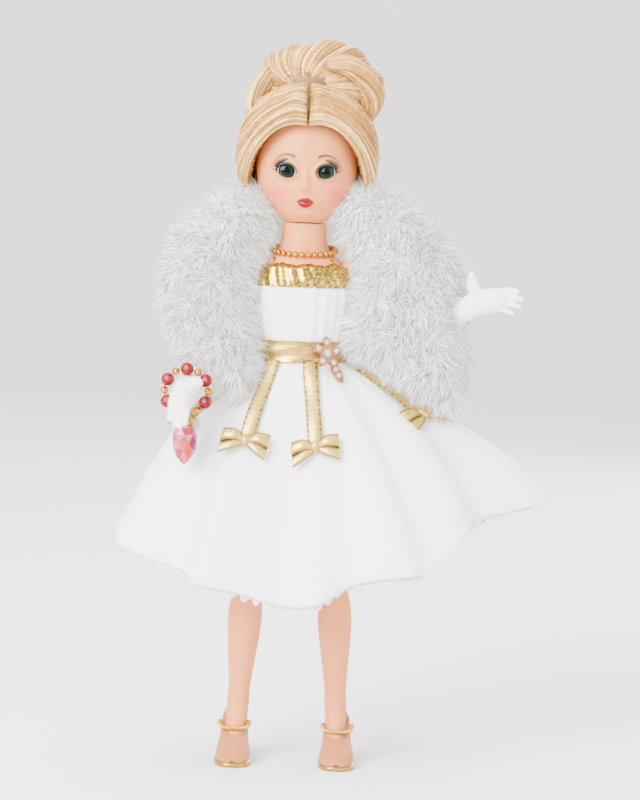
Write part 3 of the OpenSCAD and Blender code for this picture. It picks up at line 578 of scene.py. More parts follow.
def body_grid(z0, z1, rows, columns, grow, name, material, thickness=0.5, ripple=None):
    """A fitted piece round the body between two heights; grow(azimuth, share) stands off the skin."""
    share = np.linspace(0, 1, rows)
    az = np.linspace(0, 2 * math.pi, columns, endpoint=False)
    s, a = np.meshgrid(share, az, indexing="ij")
    z = z0 + (z1 - z0) * s
    w = np.interp(z, BODY[:, 1], BODY[:, 0]) + grow(a, s)
    p = np.stack([w * np.cos(a), w * BODY_FLAT * np.sin(a), z + (ripple(a, s) if ripple else 0)], -1).reshape(-1, 3)
    n = unit(np.stack([np.cos(a), np.sin(a) / BODY_FLAT, np.zeros_like(a)], -1).reshape(-1, 3))
    points, faces = thick(p, grid_faces(rows, columns, wrap=True), rows, columns, n, thickness, True)
    return mesh_piece(name, points, faces, material)


MATERIALS = {}


def shared(material_function):
    """The material that a function makes, made once."""
    if material_function.__name__ not in MATERIALS:
        MATERIALS[material_function.__name__] = material_function()
    return MATERIALS[material_function.__name__]


class DollOperator:
    """What every step of the doll shares."""
    bl_options = {"REGISTER", "UNDO"}

    def execute(self, context):
        self.build(context)
        return {"FINISHED"}


# ---------- stage ----------

# The round floor and the arc of its rim.
FLOOR_R = 2000
RIM_R = 900
# The camera looks at this point, in millimetres, from this far off in metres.
CAMERA_TARGET = (8.2, 0, 137.1)
CAMERA_FAR = 1.1
CAMERA_TILT = math.radians(5)
CAMERA_ROLL = math.radians(2.2)
CAMERA_LENS = 132.4
# Each lamp: its place and aim in millimetres, its size in metres and its power in watts.
LAMPS = {"key": ((-650, -900, 750), (0, 0, 150), 0.75, 58.0), "fill": ((900, -800, 350), (0, 0, 130), 0.9, 8.0),
         "top": ((0, 150, 1300), (0, 0, 150), 0.9, 20.0), "rim": ((500, 900, 500), (0, 0, 170), 0.7, 8.0)}
WORLD_STRENGTH = 1.9


class DOLL_OT_stage(DollOperator, bpy.types.Operator):
    """Sets the pale sweep, the soft lights and the camera"""
    bl_idname = "doll.stage"
    bl_label = "Stage"

    def build(self, context):
        # Paper sweep, uncoated: a matt pale grey that carries no reflection.
        mat, tree, shader = new_material("paper_sweep_matt", linear("#F4F4F5"), 0.95)
        paint(tree, shader, spots(tree, 400).outputs["Fac"], [(0.3, linear("#F3F3F4")), (0.7, linear("#F5F5F6"))])
        # A floor that curves up into a low rim all round.
        profile = [(1, 0), (900, 0), (FLOOR_R, 0)] + [
            (FLOOR_R + RIM_R * math.sin(t), RIM_R - RIM_R * math.cos(t)) for t in np.linspace(0.1, math.pi / 2, 14)]
        points = [(r * math.cos(q), r * math.sin(q), z) for r, z in profile
                  for q in np.linspace(0, 2 * math.pi, 96, endpoint=False)]
        mesh_piece("paper_sweep", points, [f[::-1] for f in grid_faces(len(profile), 96, wrap=True)], mat)
        self.camera(context.scene)
        for name, (spot, aim, size, power) in LAMPS.items():
            lamp = bpy.data.objects.new(name, bpy.data.lights.new(name, "AREA"))
            context.scene.collection.objects.link(lamp)
            lamp.data.size = size
            lamp.data.energy = power
            lamp.location = Vector(spot) * MM
            lamp.rotation_mode = "QUATERNION"
            lamp.rotation_quaternion = (Vector(aim) * MM - lamp.location).to_track_quat("-Z", "Y")
        world = bpy.data.worlds.new("studio")
        world.use_nodes = True
        background = world.node_tree.nodes["Background"]
        background.inputs["Color"].default_value = (1, 1, 1, 1)
        background.inputs["Strength"].default_value = WORLD_STRENGTH
        context.scene.world = world

    @staticmethod
    def camera(scene):
        camera = bpy.data.objects.new("camera", bpy.data.cameras.new("camera"))
        scene.collection.objects.link(camera)
        away = Vector((0, -math.cos(CAMERA_TILT), math.sin(CAMERA_TILT)))
        camera.location = Vector(CAMERA_TARGET) * MM + away * CAMERA_FAR
        camera.rotation_mode = "QUATERNION"
        camera.rotation_quaternion = ((-away).to_track_quat("-Z", "Y")
                                      @ Matrix.Rotation(CAMERA_ROLL, 4, "Z").to_quaternion())
        camera.data.lens = CAMERA_LENS
        camera.data.sensor_width = 36
        camera.data.clip_start = 0.01
        scene.camera = camera


# ---------- head ----------

HEAD_R = np.array([18.9, 19.3, 24.5])
EYEBALL_R = 5.0
JAW_CUT_Z = 203.4
LIP_LINE_Z = 211.0
# The forms of the face on both sides: place across and up, width across and up, and height.
FACE_FORMS = {
    "nose tip": (0, 216.3, 1.5, 1.35, 1.9), "nose bridge": (0, 219.2, 1.35, 2.6, 1.0),
    "nostril": (1.35, 215.9, 0.75, 0.8, 0.55), "mouth": (0, 210.9, 3.2, 1.9, 0.9),
    "philtrum": (0, 213.4, 0.8, 1.0, -0.25), "upper lip": (0, 212.0, 2.3, 0.8, 0.5),
    "lower lip": (0, 209.9, 2.0, 0.8, 0.6), "lip line": (0, 211.05, 3.1, 0.28, -0.6),
    "under the lip": (0, 208.1, 2.6, 0.8, -0.4), "chin": (0, 205.6, 3.6, 2.0, 1.0),
    "cheek": (10, 213.4, 4.2, 3.8, 0.9), "brow": (7.5, 227.6, 5.2, 1.6, 0.35),
}


def eye_opening(x, z):
    """Less than 1 inside an eye's opening: an almond whose outer corner stands a little higher."""
    u = (np.abs(x) - EYE_X) / 3.6
    rise = z - EYE_Z - 0.1 - 0.3 * u
    v = rise / np.where(rise > 0, 3.0, 2.7)
    return np.sqrt(u ** 2 + v ** 2)


def eyeball_front(x, z, least):
    """How far forward an eyeball reaches; least stands for the square of its depth outside the ball."""
    return EYE_Y - np.sqrt(np.maximum(least, EYEBALL_R ** 2 - (np.abs(x) - EYE_X) ** 2 - (z - EYE_Z) ** 2))


def bulge(x, z, cx, cz, wx, wz, height):
    return height * np.exp(-((x - cx) / wx) ** 2 - ((z - cz) / wz) ** 2)


class DOLL_OT_head(DollOperator, bpy.types.Operator):
    """Models the head with its eye openings, nose, lips and ears, and paints it"""
    bl_idname = "doll.head"
    bl_label = "Head"

    def build(self, context):
        points, faces, socket = self.shell(250, 400)
        masks = self.paint_masks(*points.T, socket)
        points, faces, *kept = trimmed(points, faces, *masks.values())
        face = mesh_piece("painted_head", points, faces, shared(face_material), values=dict(zip(masks, kept)))
        finish_piece(face, "head", "skin", "head_shell", "head_crown")
        self.ears()

    @staticmethod
    def shell(rows, columns):
        """The head's skin with its eye openings, and how far each point lies from an opening."""
        # The grid is finest at the face and near the lips.
        t = np.linspace(0, 1, columns, endpoint=False)
        az = -math.pi / 2 + 2 * math.pi * t - 0.62 * np.sin(2 * math.pi * t)
        v = np.linspace(-1, 1, rows)
        el = 0.5 * math.pi * (0.995 * v - 0.16 * np.sin(math.pi * v)) - 0.05 * np.cos(math.pi * v / 2)
        e, a = np.meshgrid(el, az, indexing="ij")
        d = np.stack([np.cos(e) * np.cos(a), np.cos(e) * np.sin(a), np.sin(e)], -1).reshape(-1, 3)
        x, y, z = (HEAD_C + d * HEAD_R).T
        jaw = np.clip((219 - z) / 16, 0, 1)
        x = x * (1 - 0.10 * jaw ** 1.5)
        front = np.clip(-(y - 0.5) / 12, 0, 1) ** 1.5
        socket = eye_opening(x, z)
        out = sum(bulge(np.abs(x), z, *form) for form in FACE_FORMS.values())
        out = out + 0.38 * np.exp(-((socket - 1.18) / 0.14) ** 2) - 0.4 * np.exp(-((socket - 1.62) / 0.25) ** 2)
        y = y - out * front
        # The lid's edge turns in to the eyeball.
        edge = np.clip((1.08 - socket) / 0.12, 0, 1)
        seat = np.minimum(eyeball_front(x, z, 0) - 0.12, y + 2)
        y = np.where((socket < 1.08) & (front > 0.2), y * (1 - edge) + seat * edge, y)
        inside = (socket < 0.93) & (d[:, 1] < 0)
        faces = [f for f in grid_faces(rows, columns, wrap=True) if not all(inside[list(f)])]
        return np.stack([x, y, np.maximum(z, JAW_CUT_Z)], -1), faces, socket

    @staticmethod
    def paint_masks(x, y, z, socket):
        """How much of each paint lies at each point."""
        x, face = np.abs(x), y < 0
        # Lips: a bowed upper one, a full lower one and pointed corners.
        bow = LIP_LINE_Z + 0.45 * np.exp(-((x - 1.0) / 0.7) ** 2) + 1.35 * np.clip(1 - (x / 3.3) ** 2, 0, 1) ** 0.8
        low = LIP_LINE_Z - 2.15 * np.clip(1 - (x / 3.1) ** 2, 0, 1) ** 0.75
        lips = np.clip(np.minimum(bow - z, z - low) / 0.16 + 0.5, 0, 1) * (x < 3.25) * face
        blush = 0.8 * np.exp(-((x - 11.2) / 3.9) ** 2 - ((z - 213.8) / 3.0) ** 2) * face
        u = (x - 4.2) / 8.2
        arch = 227.4 + 2.2 * np.sin(np.clip(u, 0, 1) * 1.9) - 4.2 * u ** 2
        width = 0.58 * np.clip(1.2 - u, 0.25, 1)
        brow = np.clip((width - np.abs(z - arch)) / 0.15 + 0.4, 0, 1) * ((u > 0) & (u < 1) & face) * 0.95
        lower = np.exp(-((socket - 1.04) / 0.05) ** 2)
        upper = np.exp(-((socket - 1.04) / 0.13) ** 2) * (z > EYE_Z - 0.5)
        low_lashes = np.clip(np.cos(x * 7.5) * 3 - 1.8, 0, 1) * (z < EYE_Z - 1.2) * ((socket > 1.05) & (socket < 1.36))
        liner = np.clip(np.maximum(0.95 * upper, np.maximum(0.5 * lower, 0.6 * low_lashes)), 0, 1) * (y < -5)
        return {"lips": lips, "blush": blush, "brow": brow, "liner": liner}

    @staticmethod
    def ears():
        """Both ears, cupped, in one mesh."""
        parts = []
        for side in (-1, 1):
            line = [(side * (15.7 + 0.9 * math.sin(q)), 1.2 + 2.1 * math.cos(q), 214.6 + 3.4 * math.sin(q))
                    for q in np.linspace(-2.2, 2.4, 22)]
            parts.append(tube(line, np.full(22, 0.8), 8))
            parts.append(ball((side * 15.6, 1.2, 214), (1.1, 2.2, 3.2), 10, 14))
        finish_piece(mesh_piece("ears", *joined(parts), shared(skin_material)), "head", "skin")


def eye_material():
    """Blown glass, polished: a wet gloss over a white ball and a streaked iris."""
    mat, tree, shader = new_material("glass_eye_polished", linear("#F6F2EE"), 0.06, Specular__IOR__Level=0.12)
    xyz = add_node(tree, "ShaderNodeSeparateXYZ", None, Vector=place(tree))
    dx = math_node(tree, "SUBTRACT", math_node(tree, "ABSOLUTE", xyz.outputs["X"]), EYE_X * MM)
    dz = math_node(tree, "SUBTRACT", xyz.outputs["Z"], (EYE_Z + 0.1) * MM)
    offset = add_node(tree, "ShaderNodeCombineXYZ", None, X=dx, Z=dz)
    length = add_node(tree, "ShaderNodeVectorMath", {"operation": "LENGTH"}, n0=offset.outputs[0])
    reach = math_node(tree, "MULTIPLY", length.outputs["Value"], 1 / (EYEBALL_R * MM))
    iris, pupil = list(colours().iris), [0.001] * 3
    paint(tree, shader, reach, [(0.0, pupil), (0.31, pupil), (0.35, shade(iris, 0.8)), (0.45, shade(iris, 1.5)),
                                (0.54, shade(iris, 0.5)), (0.59, [0.004, 0.006, 0.005]),
                                (0.63, linear("#EFEAE6"))])
    return mat


class DOLL_OT_eyes(DollOperator, bpy.types.Operator):
    """Paints the glass eyes and sets the lashes"""
    bl_idname = "doll.eyes"
    bl_label = "Eyes"

    def build(self, context):
        glass = eye_material()
        dress("eyeball_right", glass)
        dress("eyeball_left", glass)
        parts = []
        for side in (-1, 1):
            parts += [self.lash(side, u) for u in np.linspace(-1, 1, 34)]
            # The strip that the lashes are set in.
            line = [(side * (EYE_X + 3.6 * u), EYE_Y - math.sqrt(max(1.0, 20 - (3.6 * u) ** 2)) - 0.75,
                     EYE_Z + 0.1 + 0.3 * u + 2.95 * math.sqrt(1 - min(1, u * u))) for u in np.linspace(-1, 1, 24)]
            parts.append(tube(line, np.full(24, 0.5), 6))
        lash = plain_material("nylon_lash_black", linear("#1A100C"), 0.5)
        finish_piece(mesh_piece("lash_fringe", *joined(parts), lash), "eyes", "lashes", "eyelashes")
        dress("eye_rocker", plain_material("wire_rocker_steel", linear("#9A9A9E"), 0.3, Metallic=1.0))

    @staticmethod
    def lash(side, u):
        """One lash; u runs from -1 at the inner corner of the lid to 1 at the outer."""
        x = EYE_X + 3.65 * u
        z = EYE_Z + 0.1 + 0.3 * u + 3.0 * math.sqrt(1 - min(1, u * u))
        root = np.array([side * x, eyeball_front(x, z, 1.0) - 0.8, z])
        fan = np.array([side * (0.95 * u + 0.12), -0.6, 1.05 - 0.5 * abs(u)])
        tip = root + unit(fan) * (2.1 + 0.8 * u)
        mid = (root + tip) / 2 + np.array([0, -0.4, -0.25])
        return tube(curve_through([root, mid, tip], 6), np.linspace(0.27, 0.07, 6), 5)


# ---------- hair ----------

WIG_C = np.array([0, 1.5, 227.4])
WIG_R = np.array([25.0, 25.0, 27.0])
BUN_C = np.array([4, 13, 253.9])
BUN_CORE = (21.2, 14.6, 14.8)
BUN_R = np.array([23.2, 16.0, 16.4])
BUN_FOOT = (-0.19, -0.97, -0.12)
BUN_STRANDS = 1900
ROLL_STRANDS = 300
# The two low rolls, each a line and a radius: behind the left temple, and round the far lobe.
ROLLS = (([(-19, 2, 236), (-21, 3, 243), (-19.5, 4, 250), (-15, 6, 257), (-8, 10, 263), (2, 14, 266)], 3.6),
         ([(6, -3.5, 262), (14, -3.5, 261.5), (21, -0.5, 256), (23.5, 3, 249), (20.5, 6, 242.5), (13, 10, 239)],
          4.2))


def hairline(azimuth):
    """The lowest elevation that hair covers, by degrees from the front."""
    return np.interp(azimuth, [0, 12, 26, 40, 52, 66, 80, 95, 130, 180],
                     [28, 27, 24, 14, 2, -16, -24, -32, -40, -42])


def wig_point(az, el, lift=0.0):
    """Azimuth from the front toward the side, in degrees, signed; elevation in degrees."""
    a, e = np.radians(az), np.radians(el)
    d = np.stack([np.sin(a) * np.cos(e), -np.cos(a) * np.cos(e), np.sin(e)], -1)
    return WIG_C + d * (WIG_R + np.asarray(lift)[..., None])


def strand_tubes(lines, width, rng):
    """Three-sided tapering strands; the shade number runs along with each one."""
    parts, tone = [], []
    for line in lines:
        n = len(line)
        taper = np.clip(np.minimum(np.arange(n), np.arange(n)[::-1]) / 3 + 0.35, 0, 1)
        points, faces = tube(line, width * taper * rng.uniform(0.7, 1.25), 3)
        parts.append((points, faces))
        tone.append(np.full(len(points), rng.uniform(0, 1)))
    points, faces = joined(parts)
    return points, faces, np.concatenate(tone)


def hair_piece(name, strands, filling=None, filling_painted_shade=0.0, node=None):
    """Strands over a filling of one tone, riding the head; the filling's darker tone is a painted shade between the
    strands.
    """
    points, faces, tone = strands
    if filling:
        tone = np.concatenate([np.full(len(filling[0]), filling_painted_shade), tone])
        points, faces = joined([filling, (points, faces)])
    piece = mesh_piece(name, points, faces, shared(hair_material), values={"strand": tone})
    finish_piece(piece, "head", "hair", *([node] if node else []))


class DOLL_OT_hair(DollOperator, bpy.types.Operator):
    """Combs the parted wig and rolls the high chignon"""
    bl_idname = "doll.hair"
    bl_label = "Hair"

    def build(self, context):
        rng = np.random.default_rng(11)
        width = sizes().strand_width / MM
        self.cap()
        lines = [self.front_strand(i, rng) if i % 5 < 3 else self.back_strand(i, rng)
                 for i in range(sizes().hair_strands)]
        hair_piece("wig_strands", strand_tubes(lines, width, rng))
        lines = self.chignon_lines(rng)
        # The chignon's core is painted very dark (-0.25): painted shade in the gaps between its strands.
        hair_piece("chignon", strand_tubes(lines, width * 1.1, rng), ball(BUN_C, BUN_CORE, 40, 72), -0.25, "wig_bun")
        lines = [line for route in ROLLS for line in self.roll_lines(*route, rng)]
        # The rolls' filling is painted a little darker than most strands (0.3): painted shade between them.
        filling = joined([tube(curve_through(keys, 24), (wide - 0.9) * self.roll_taper(24), 12, 0.8)
                          for keys, wide in ROLLS])
        hair_piece("chignon_rolls", strand_tubes(lines, width, rng), filling, 0.3)

    @staticmethod
    def cap():
        """The cap under the strands, open at the face and cut at the nape."""
        rows, columns = 90, 180
        el = np.radians(np.linspace(-44, 89.5, rows))
        az = np.linspace(0, 2 * math.pi, columns, endpoint=False)
        e, a = np.meshgrid(el, az, indexing="ij")
        d = np.stack([np.sin(a) * np.cos(e), -np.cos(a) * np.cos(e), np.sin(e)], -1).reshape(-1, 3)
        ripple = 0.18 * np.sin(a * 46 + 3 * np.sin(3 * e)).reshape(-1)
        outer = WIG_C + d * (WIG_R - 1.5 + ripple[:, None])
        angle = np.degrees(np.arccos(np.clip(-d[:, 1] / np.hypot(d[:, 0], d[:, 1]).clip(1e-6), -1, 1)))
        keep = np.degrees(e).reshape(-1) > hairline(angle) + 3
        faces = [f for f in grid_faces(rows, columns, wrap=True) if all(keep[list(f)])]
        n = len(outer)
        both = faces + [tuple(i + n for i in f[::-1]) for f in faces] + open_rim(faces, n)
        points, both = trimmed(np.vstack([outer, outer - d * 1.6]), both)
        # The cap is painted dark (0.05): painted shade under the strands.
        hair_piece("wig_cap", (points, both, np.full(len(points), 0.05)), node="wig_base")

    @staticmethod
    def front_strand(i, rng):
        """A strand swept from the parting, out over the temple and back up to the chignon."""
        side = -1 if i % 2 else 1
        u = rng.uniform(0, 1) ** 1.25
        wave = 0.5 * math.sin(6 * u + side)
        keys = [(1.2 + 2 * u, 26.5 + 45 * u), (14, 27 + 42 * u), (30, 21 + 44 * u), (47, 5 + 58 * u),
                (63, -15 + 68 * u), (80, -27 + 76 * u), (102, -34 + 82 * u), (132, -14 + 62 * u), (160, 30 + 32 * u)]
        path = curve_through(keys, 26)
        t = np.linspace(0, 1, 26)
        puff = 1.7 * np.exp(-((t - 0.12) / 0.1) ** 2) * math.sin(math.pi * min(1, 1.1 * u))
        lift = (-1.7 * np.clip(1 - 9 * u, 0, 1) + 0.7 + puff + 0.8 * np.sin(math.pi * np.clip(t * 1.5, 0, 1))
                + 0.5 * np.sin(u * 34 + wave + 2.5 * t) + rng.uniform(-0.4, 0.4))
        return wig_point(side * path[:, 0], path[:, 1], lift)

    @staticmethod
    def back_strand(i, rng):
        """A strand combed up from the nape."""
        side = -1 if i % 2 else 1
        back = rng.uniform(88, 180)
        low = hairline(back) + rng.uniform(0, 5)
        lean = rng.uniform(-5, 5)
        path = curve_through([(back, low), (back + lean, low + 30), (back - 6 + lean, low + 62), (back - 8, 62)], 22)
        t = np.linspace(0, 1, 22)
        lift = 0.1 + 0.9 * np.sin(math.pi * t) + 0.4 * np.sin(back * 0.9) + rng.uniform(-0.3, 0.3)
        return wig_point(side * path[:, 0], path[:, 1], lift)

    @staticmethod
    def chignon_lines(rng):
        """Strands of the chignon's shell, fanned from the front of its foot."""
        pole = unit(np.array(BUN_FOOT))
        side_axis = unit(np.cross(pole, [0, 0, 1]))
        up_axis = np.cross(side_axis, pole)
        lines = []
        for _ in range(BUN_STRANDS):
            phi = rng.uniform(0, 2 * math.pi)
            t = np.linspace(0.16, rng.uniform(2.2, 2.9), 22)
            turn = phi + 0.5 * np.sin(t)
            d = (np.cos(t)[:, None] * pole + np.sin(t)[:, None]
                 * (np.cos(turn)[:, None] * side_axis + np.sin(turn)[:, None] * up_axis))
            roll = 0.9 * math.sin(5 * phi + 0.6) + 0.55 * math.sin(11 * phi + 1) + rng.uniform(-0.35, 0.35)
            dent = -4.6 * np.exp(-(t / 0.36) ** 2)
            lines.append(BUN_C + d * (BUN_R + (roll * np.sin(np.clip(t * 1.1, 0, math.pi)) + dent)[:, None]))
        return lines

    @staticmethod
    def roll_taper(count):
        return np.sin(np.linspace(0.3, math.pi - 0.3, count)) ** 0.6

    def roll_lines(self, keys, wide, rng):
        """Strands that wind along one low roll."""
        spine = curve_through(keys, 34)
        along = unit(np.gradient(spine, axis=0))
        across = unit(np.cross(along, unit(spine - BUN_C)))
        over = np.cross(across, along)
        lines = []
        for _ in range(ROLL_STRANDS):
            q = rng.uniform(0, 2 * math.pi)
            spin = q + np.linspace(0, 1.6, 34)
            r = wide * self.roll_taper(34) * (1 + 0.1 * math.sin(6 * q)) * rng.uniform(0.88, 1.04)
            lines.append(spine + r[:, None] * (np.cos(spin)[:, None] * across + 0.8 * np.sin(spin)[:, None] * over))
        return lines


# ---------- body, gown and ribbons ----------

class DOLL_OT_body(DollOperator, bpy.types.Operator):
    """Finishes the body, neck and limbs in tinted bisque"""
    bl_idname = "doll.body"
    bl_label = "Body and limbs"

    def build(self, context):
        skin = shared(skin_material)
        for node in ("torso_front", "torso_back", "neck_button", "arm_right", "arm_left", "thigh_right",
                     "thigh_left", "knee_pin_right", "knee_pin_left", "head_shell",
                     "head_crown"):
            dress(node, skin)
        # Latex loop, extruded: matt and waxy.
        elastic = plain_material("latex_elastic_extruded", linear("#D9C7A6"), 0.6)
        for node in ("shoulder_elastic", "hip_elastic", "neck_elastic"):
            dress(node, elastic)
        # The shoulders and chest above the band, in one skin that hides the casting line.
        profile = curve_through([(17.2, 183), (16.6, 186.2), (13.6, 189.4), (10.2, 192), (8.6, 195), (8.0, 199),
                                 (7.9, 202.8)], 46)
        az = np.linspace(0, 2 * math.pi, 120, endpoint=False)
        r, a = np.meshgrid(profile[:, 0], az, indexing="ij")
        z = np.repeat(profile[:, 1][:, None], 120, 1)
        neck = np.clip((z - 188) / 8, 0, 1)
        flat = BODY_FLAT + (1 - BODY_FLAT) * neck
        p = np.stack([(r + 0.25) * np.cos(a), (r + 0.25) * flat * np.sin(a), z], -1)
        bone = 0.35 * np.exp(-((z - 189.6 - 0.05 * np.abs(p[..., 0])) / 0.9) ** 2) * (np.sin(a) < -0.3)
        p[..., 1] -= bone * np.clip(np.abs(p[..., 0]) / 4, 0, 1)
        p[:, :, 0] = np.sign(p[:, :, 0]) * np.minimum(np.abs(p[:, :, 0]), 13.6)
        normal = unit(np.stack([np.cos(a), np.sin(a), 0 * a], -1)).reshape(-1, 3)
        points, faces = thick(p.reshape(-1, 3), grid_faces(46, 120, wrap=True), 46, 120, normal, 1.2, True)
        finish_piece(mesh_piece("shoulders_and_neck", points, faces, skin), "torso", "skin")


class DOLL_OT_legs(DollOperator, bpy.types.Operator):
    """Models each lower leg with its calf, ankle and arched foot"""
    bl_idname = "doll.legs"
    bl_label = "Lower legs"

    def build(self, context):
        for side, name in ((-1, "right"), (1, "left")):
            def at(y, z, side=side):
                return (side * (13 + 6.4 * (138 - z) / 138), y, z)
            shin = [(0, 72.5, 5.0), (0, 66, 5.0), (0.1, 61, 5.9), (0.5, 55, 6.45), (0.5, 48, 6.1), (0.7, 37, 5.0),
                    (1.6, 28, 4.15), (2.4, 23, 4.2), (3.0, 19, 4.1), (3.8, 15, 3.7)]
            foot = [(2.6, 24, 3.7), (2.2, 18.5, 4.1), (0, 13.2, 3.7), (-3.6, 9.2, 3.1), (-7, 6.0, 2.3)]
            parts = []
            for keys in (shin, foot):
                path = curve_through([(*at(y, z), r) for y, z, r in keys], 40)
                parts.append(tube(path[:, :3], path[:, 3], 32, 1.0, (0, 1, 0.3)))
            parts.append(ball(at(0, 73), (4.7, 4.9, 4.9), 18, 24))
            for ankle in (-1, 1):
                spot = np.array(at(3.0, 22.5)) + [ankle * 3.1, 0, 0]
                parts.append(ball(spot, (1.2, 1.5, 1.7), 12, 16))
            points, faces = joined(parts)
            leg = mesh_piece(f"lower_leg_{name}", points, faces, shared(skin_material))
            fuse(leg, shared(skin_material), 0.4, 6)
            finish_piece(leg, f"calf_{name}", "skin", f"calf_{name}")


class DOLL_OT_gown(DollOperator, bpy.types.Operator):
    """Cuts the gathered bodice, its glittering band, the belt, the skirt and the petticoat"""
    bl_idname = "doll.gown"
    bl_label = "Gown"

    def build(self, context):
        satin, net = shared(satin_material), shared(net_material)

        def gathered(a, s):
            pull = 0.3 * (1 - s) ** 1.5 + 0.5 * s ** 3 + 0.2
            return 1.15 + pull * (np.cos(34 * a + 2 * np.sin(3 * a)) * 0.55 + 0.4 * np.cos(19 * a + 1)) \
                + 0.6 * np.sin(math.pi * s)
        bodice = body_grid(WAIST_Z + 1, 183, 60, 420, gathered, "bodice_gathered", satin)
        finish_piece(bodice, "torso", "satin", "bodice")

        def puckered(a, s):
            return 1.9 + 0.25 * np.cos(26 * a + 4 * s) + 0.5 * (s - 0.5) ** 2 + 0.35 * np.sin(math.pi * s)

        def lifted(a, s):
            return 0.25 * np.cos(9 * a) * s
        band = body_grid(179.6, 188.4, 22, 460, puckered, "lame_band", lame_material(), 0.5, lifted)
        finish_piece(band, "torso", "lame", "bodice_band")

        def creased(a, s):
            return 2.25 + 0.3 * np.sin(s * 11 + 2.5 * np.sin(a * 2)) + 0.15 * np.cos(a * 7 + s * 6)
        belt = body_grid(WAIST_Z - 1.0, WAIST_Z + 7.2, 26, 240, creased, "belt_ribbon", belt_material(), 0.5)
        finish_piece(belt, "torso", "gold_ribbon", "belt")
        # Moulded metal clips and pressed snaps.
        dress("back_snaps", metal_material("snap_steel_pressed", linear("#B9B9BE"), 0.35))
        skirt = self.cloth("skirt_satin", satin, (0.0, 1.0), 0.0, 0.45, (110, 560))
        finish_piece(skirt, "torso", "satin", "skirt")
        petticoat = self.cloth("petticoat_net", net, (0.05, 0.955), 2.4, 0.4, (60, 420))
        finish_piece(petticoat, "torso", "net", "petticoat")
        finish_piece(self.lace(net), "torso", "net", "petticoat_lace")
        self.hem_seam(satin)

    @staticmethod
    def cloth(name, material, shares, depth, thickness, grid):
        """A layer of the skirt between two shares of its length, set in by depth."""
        rows, columns = grid
        az = np.linspace(0, 360, columns, endpoint=False)
        s, a = np.meshgrid(np.linspace(*shares, rows), az, indexing="ij")
        top = skirt_point(a, s, depth * (1 + 0.6 * s))
        if name == "skirt_satin":
            # The hem rolls under a little and ripples.
            roll = np.clip((s - 0.975) / 0.025, 0, 1)
            out = np.stack([np.cos(np.radians(a)), np.sin(np.radians(a)), 0 * a], -1)
            top = top - out * (roll ** 2 * 0.9)[..., None]
            soft = np.array([noise(Vector((float(x) / 17, float(y) / 17, float(z) / 26)))
                             for x, y, z in top.reshape(-1, 3)]).reshape(a.shape)
            top = top + out * (soft * 1.5 * s * (1 - s ** 6))[..., None]
        points = top.reshape(-1, 3)
        _, _, normal = skirt_frame(a, np.clip(s, 0.02, 0.98))
        full, faces = thick(points, grid_faces(rows, columns, wrap=True), rows, columns, normal.reshape(-1, 3),
                            thickness, True)
        return mesh_piece(name, full, faces, material)

    @staticmethod
    def lace(material):
        rows, columns = 12, 1100
        share = np.linspace(0, 1, rows)
        az = np.linspace(0, 360, columns, endpoint=False)
        t, a = np.meshgrid(share, az, indexing="ij")
        scallop = np.abs(np.sin(np.radians(a * 36)))
        s = 0.955 + (0.042 + 0.02 * scallop) * t
        wave = 0.7 * np.sin(np.radians(a * 60)) * t
        p = skirt_point(a, s, 4.3 + 0 * s)
        out = np.stack([np.cos(np.radians(a)), np.sin(np.radians(a)), 0 * a], -1)
        p = (p + out * wave[..., None]).reshape(-1, 3)
        points, faces = thick(p, grid_faces(rows, columns, wrap=True), rows, columns, out.reshape(-1, 3), 0.35, True)
        return mesh_piece("petticoat_scallops", points, faces, material)

    @staticmethod
    def hem_seam(material):
        """The narrow stitched hem of the skirt: a ring of five-sided thread."""
        count, sides, share, radius = 620, 5, np.full(620, 0.968), 0.13
        az = np.linspace(0, 360, count, endpoint=False)
        _, _, out = skirt_frame(az, share)
        line = skirt_point(az, share) + out * 0.12
        angle = np.linspace(0, 2 * math.pi, sides, endpoint=False)
        rings = line[:, None] + radius * (np.cos(angle)[None, :, None] * out[:, None]
                                          + np.sin(angle)[None, :, None] * np.array([0, 0, 1.0]))
        faces = []
        for i in range(count):
            here, there = i * sides, (i + 1) % count * sides
            faces += [(here + j, here + (j + 1) % sides, there + (j + 1) % sides, there + j) for j in range(sides)]
        piece = mesh_piece("hem_stitching", rings.reshape(-1, 3), faces, material)
        finish_piece(piece, "torso", "satin")


RIBBON_W = 5.5
# The share of the skirt's length at which a streamer ends in its bow.
RIBBON_END = 38 / 98
STREAMER_AZ = (-77, -14, 28, 68, 108, 148, 193, 238)


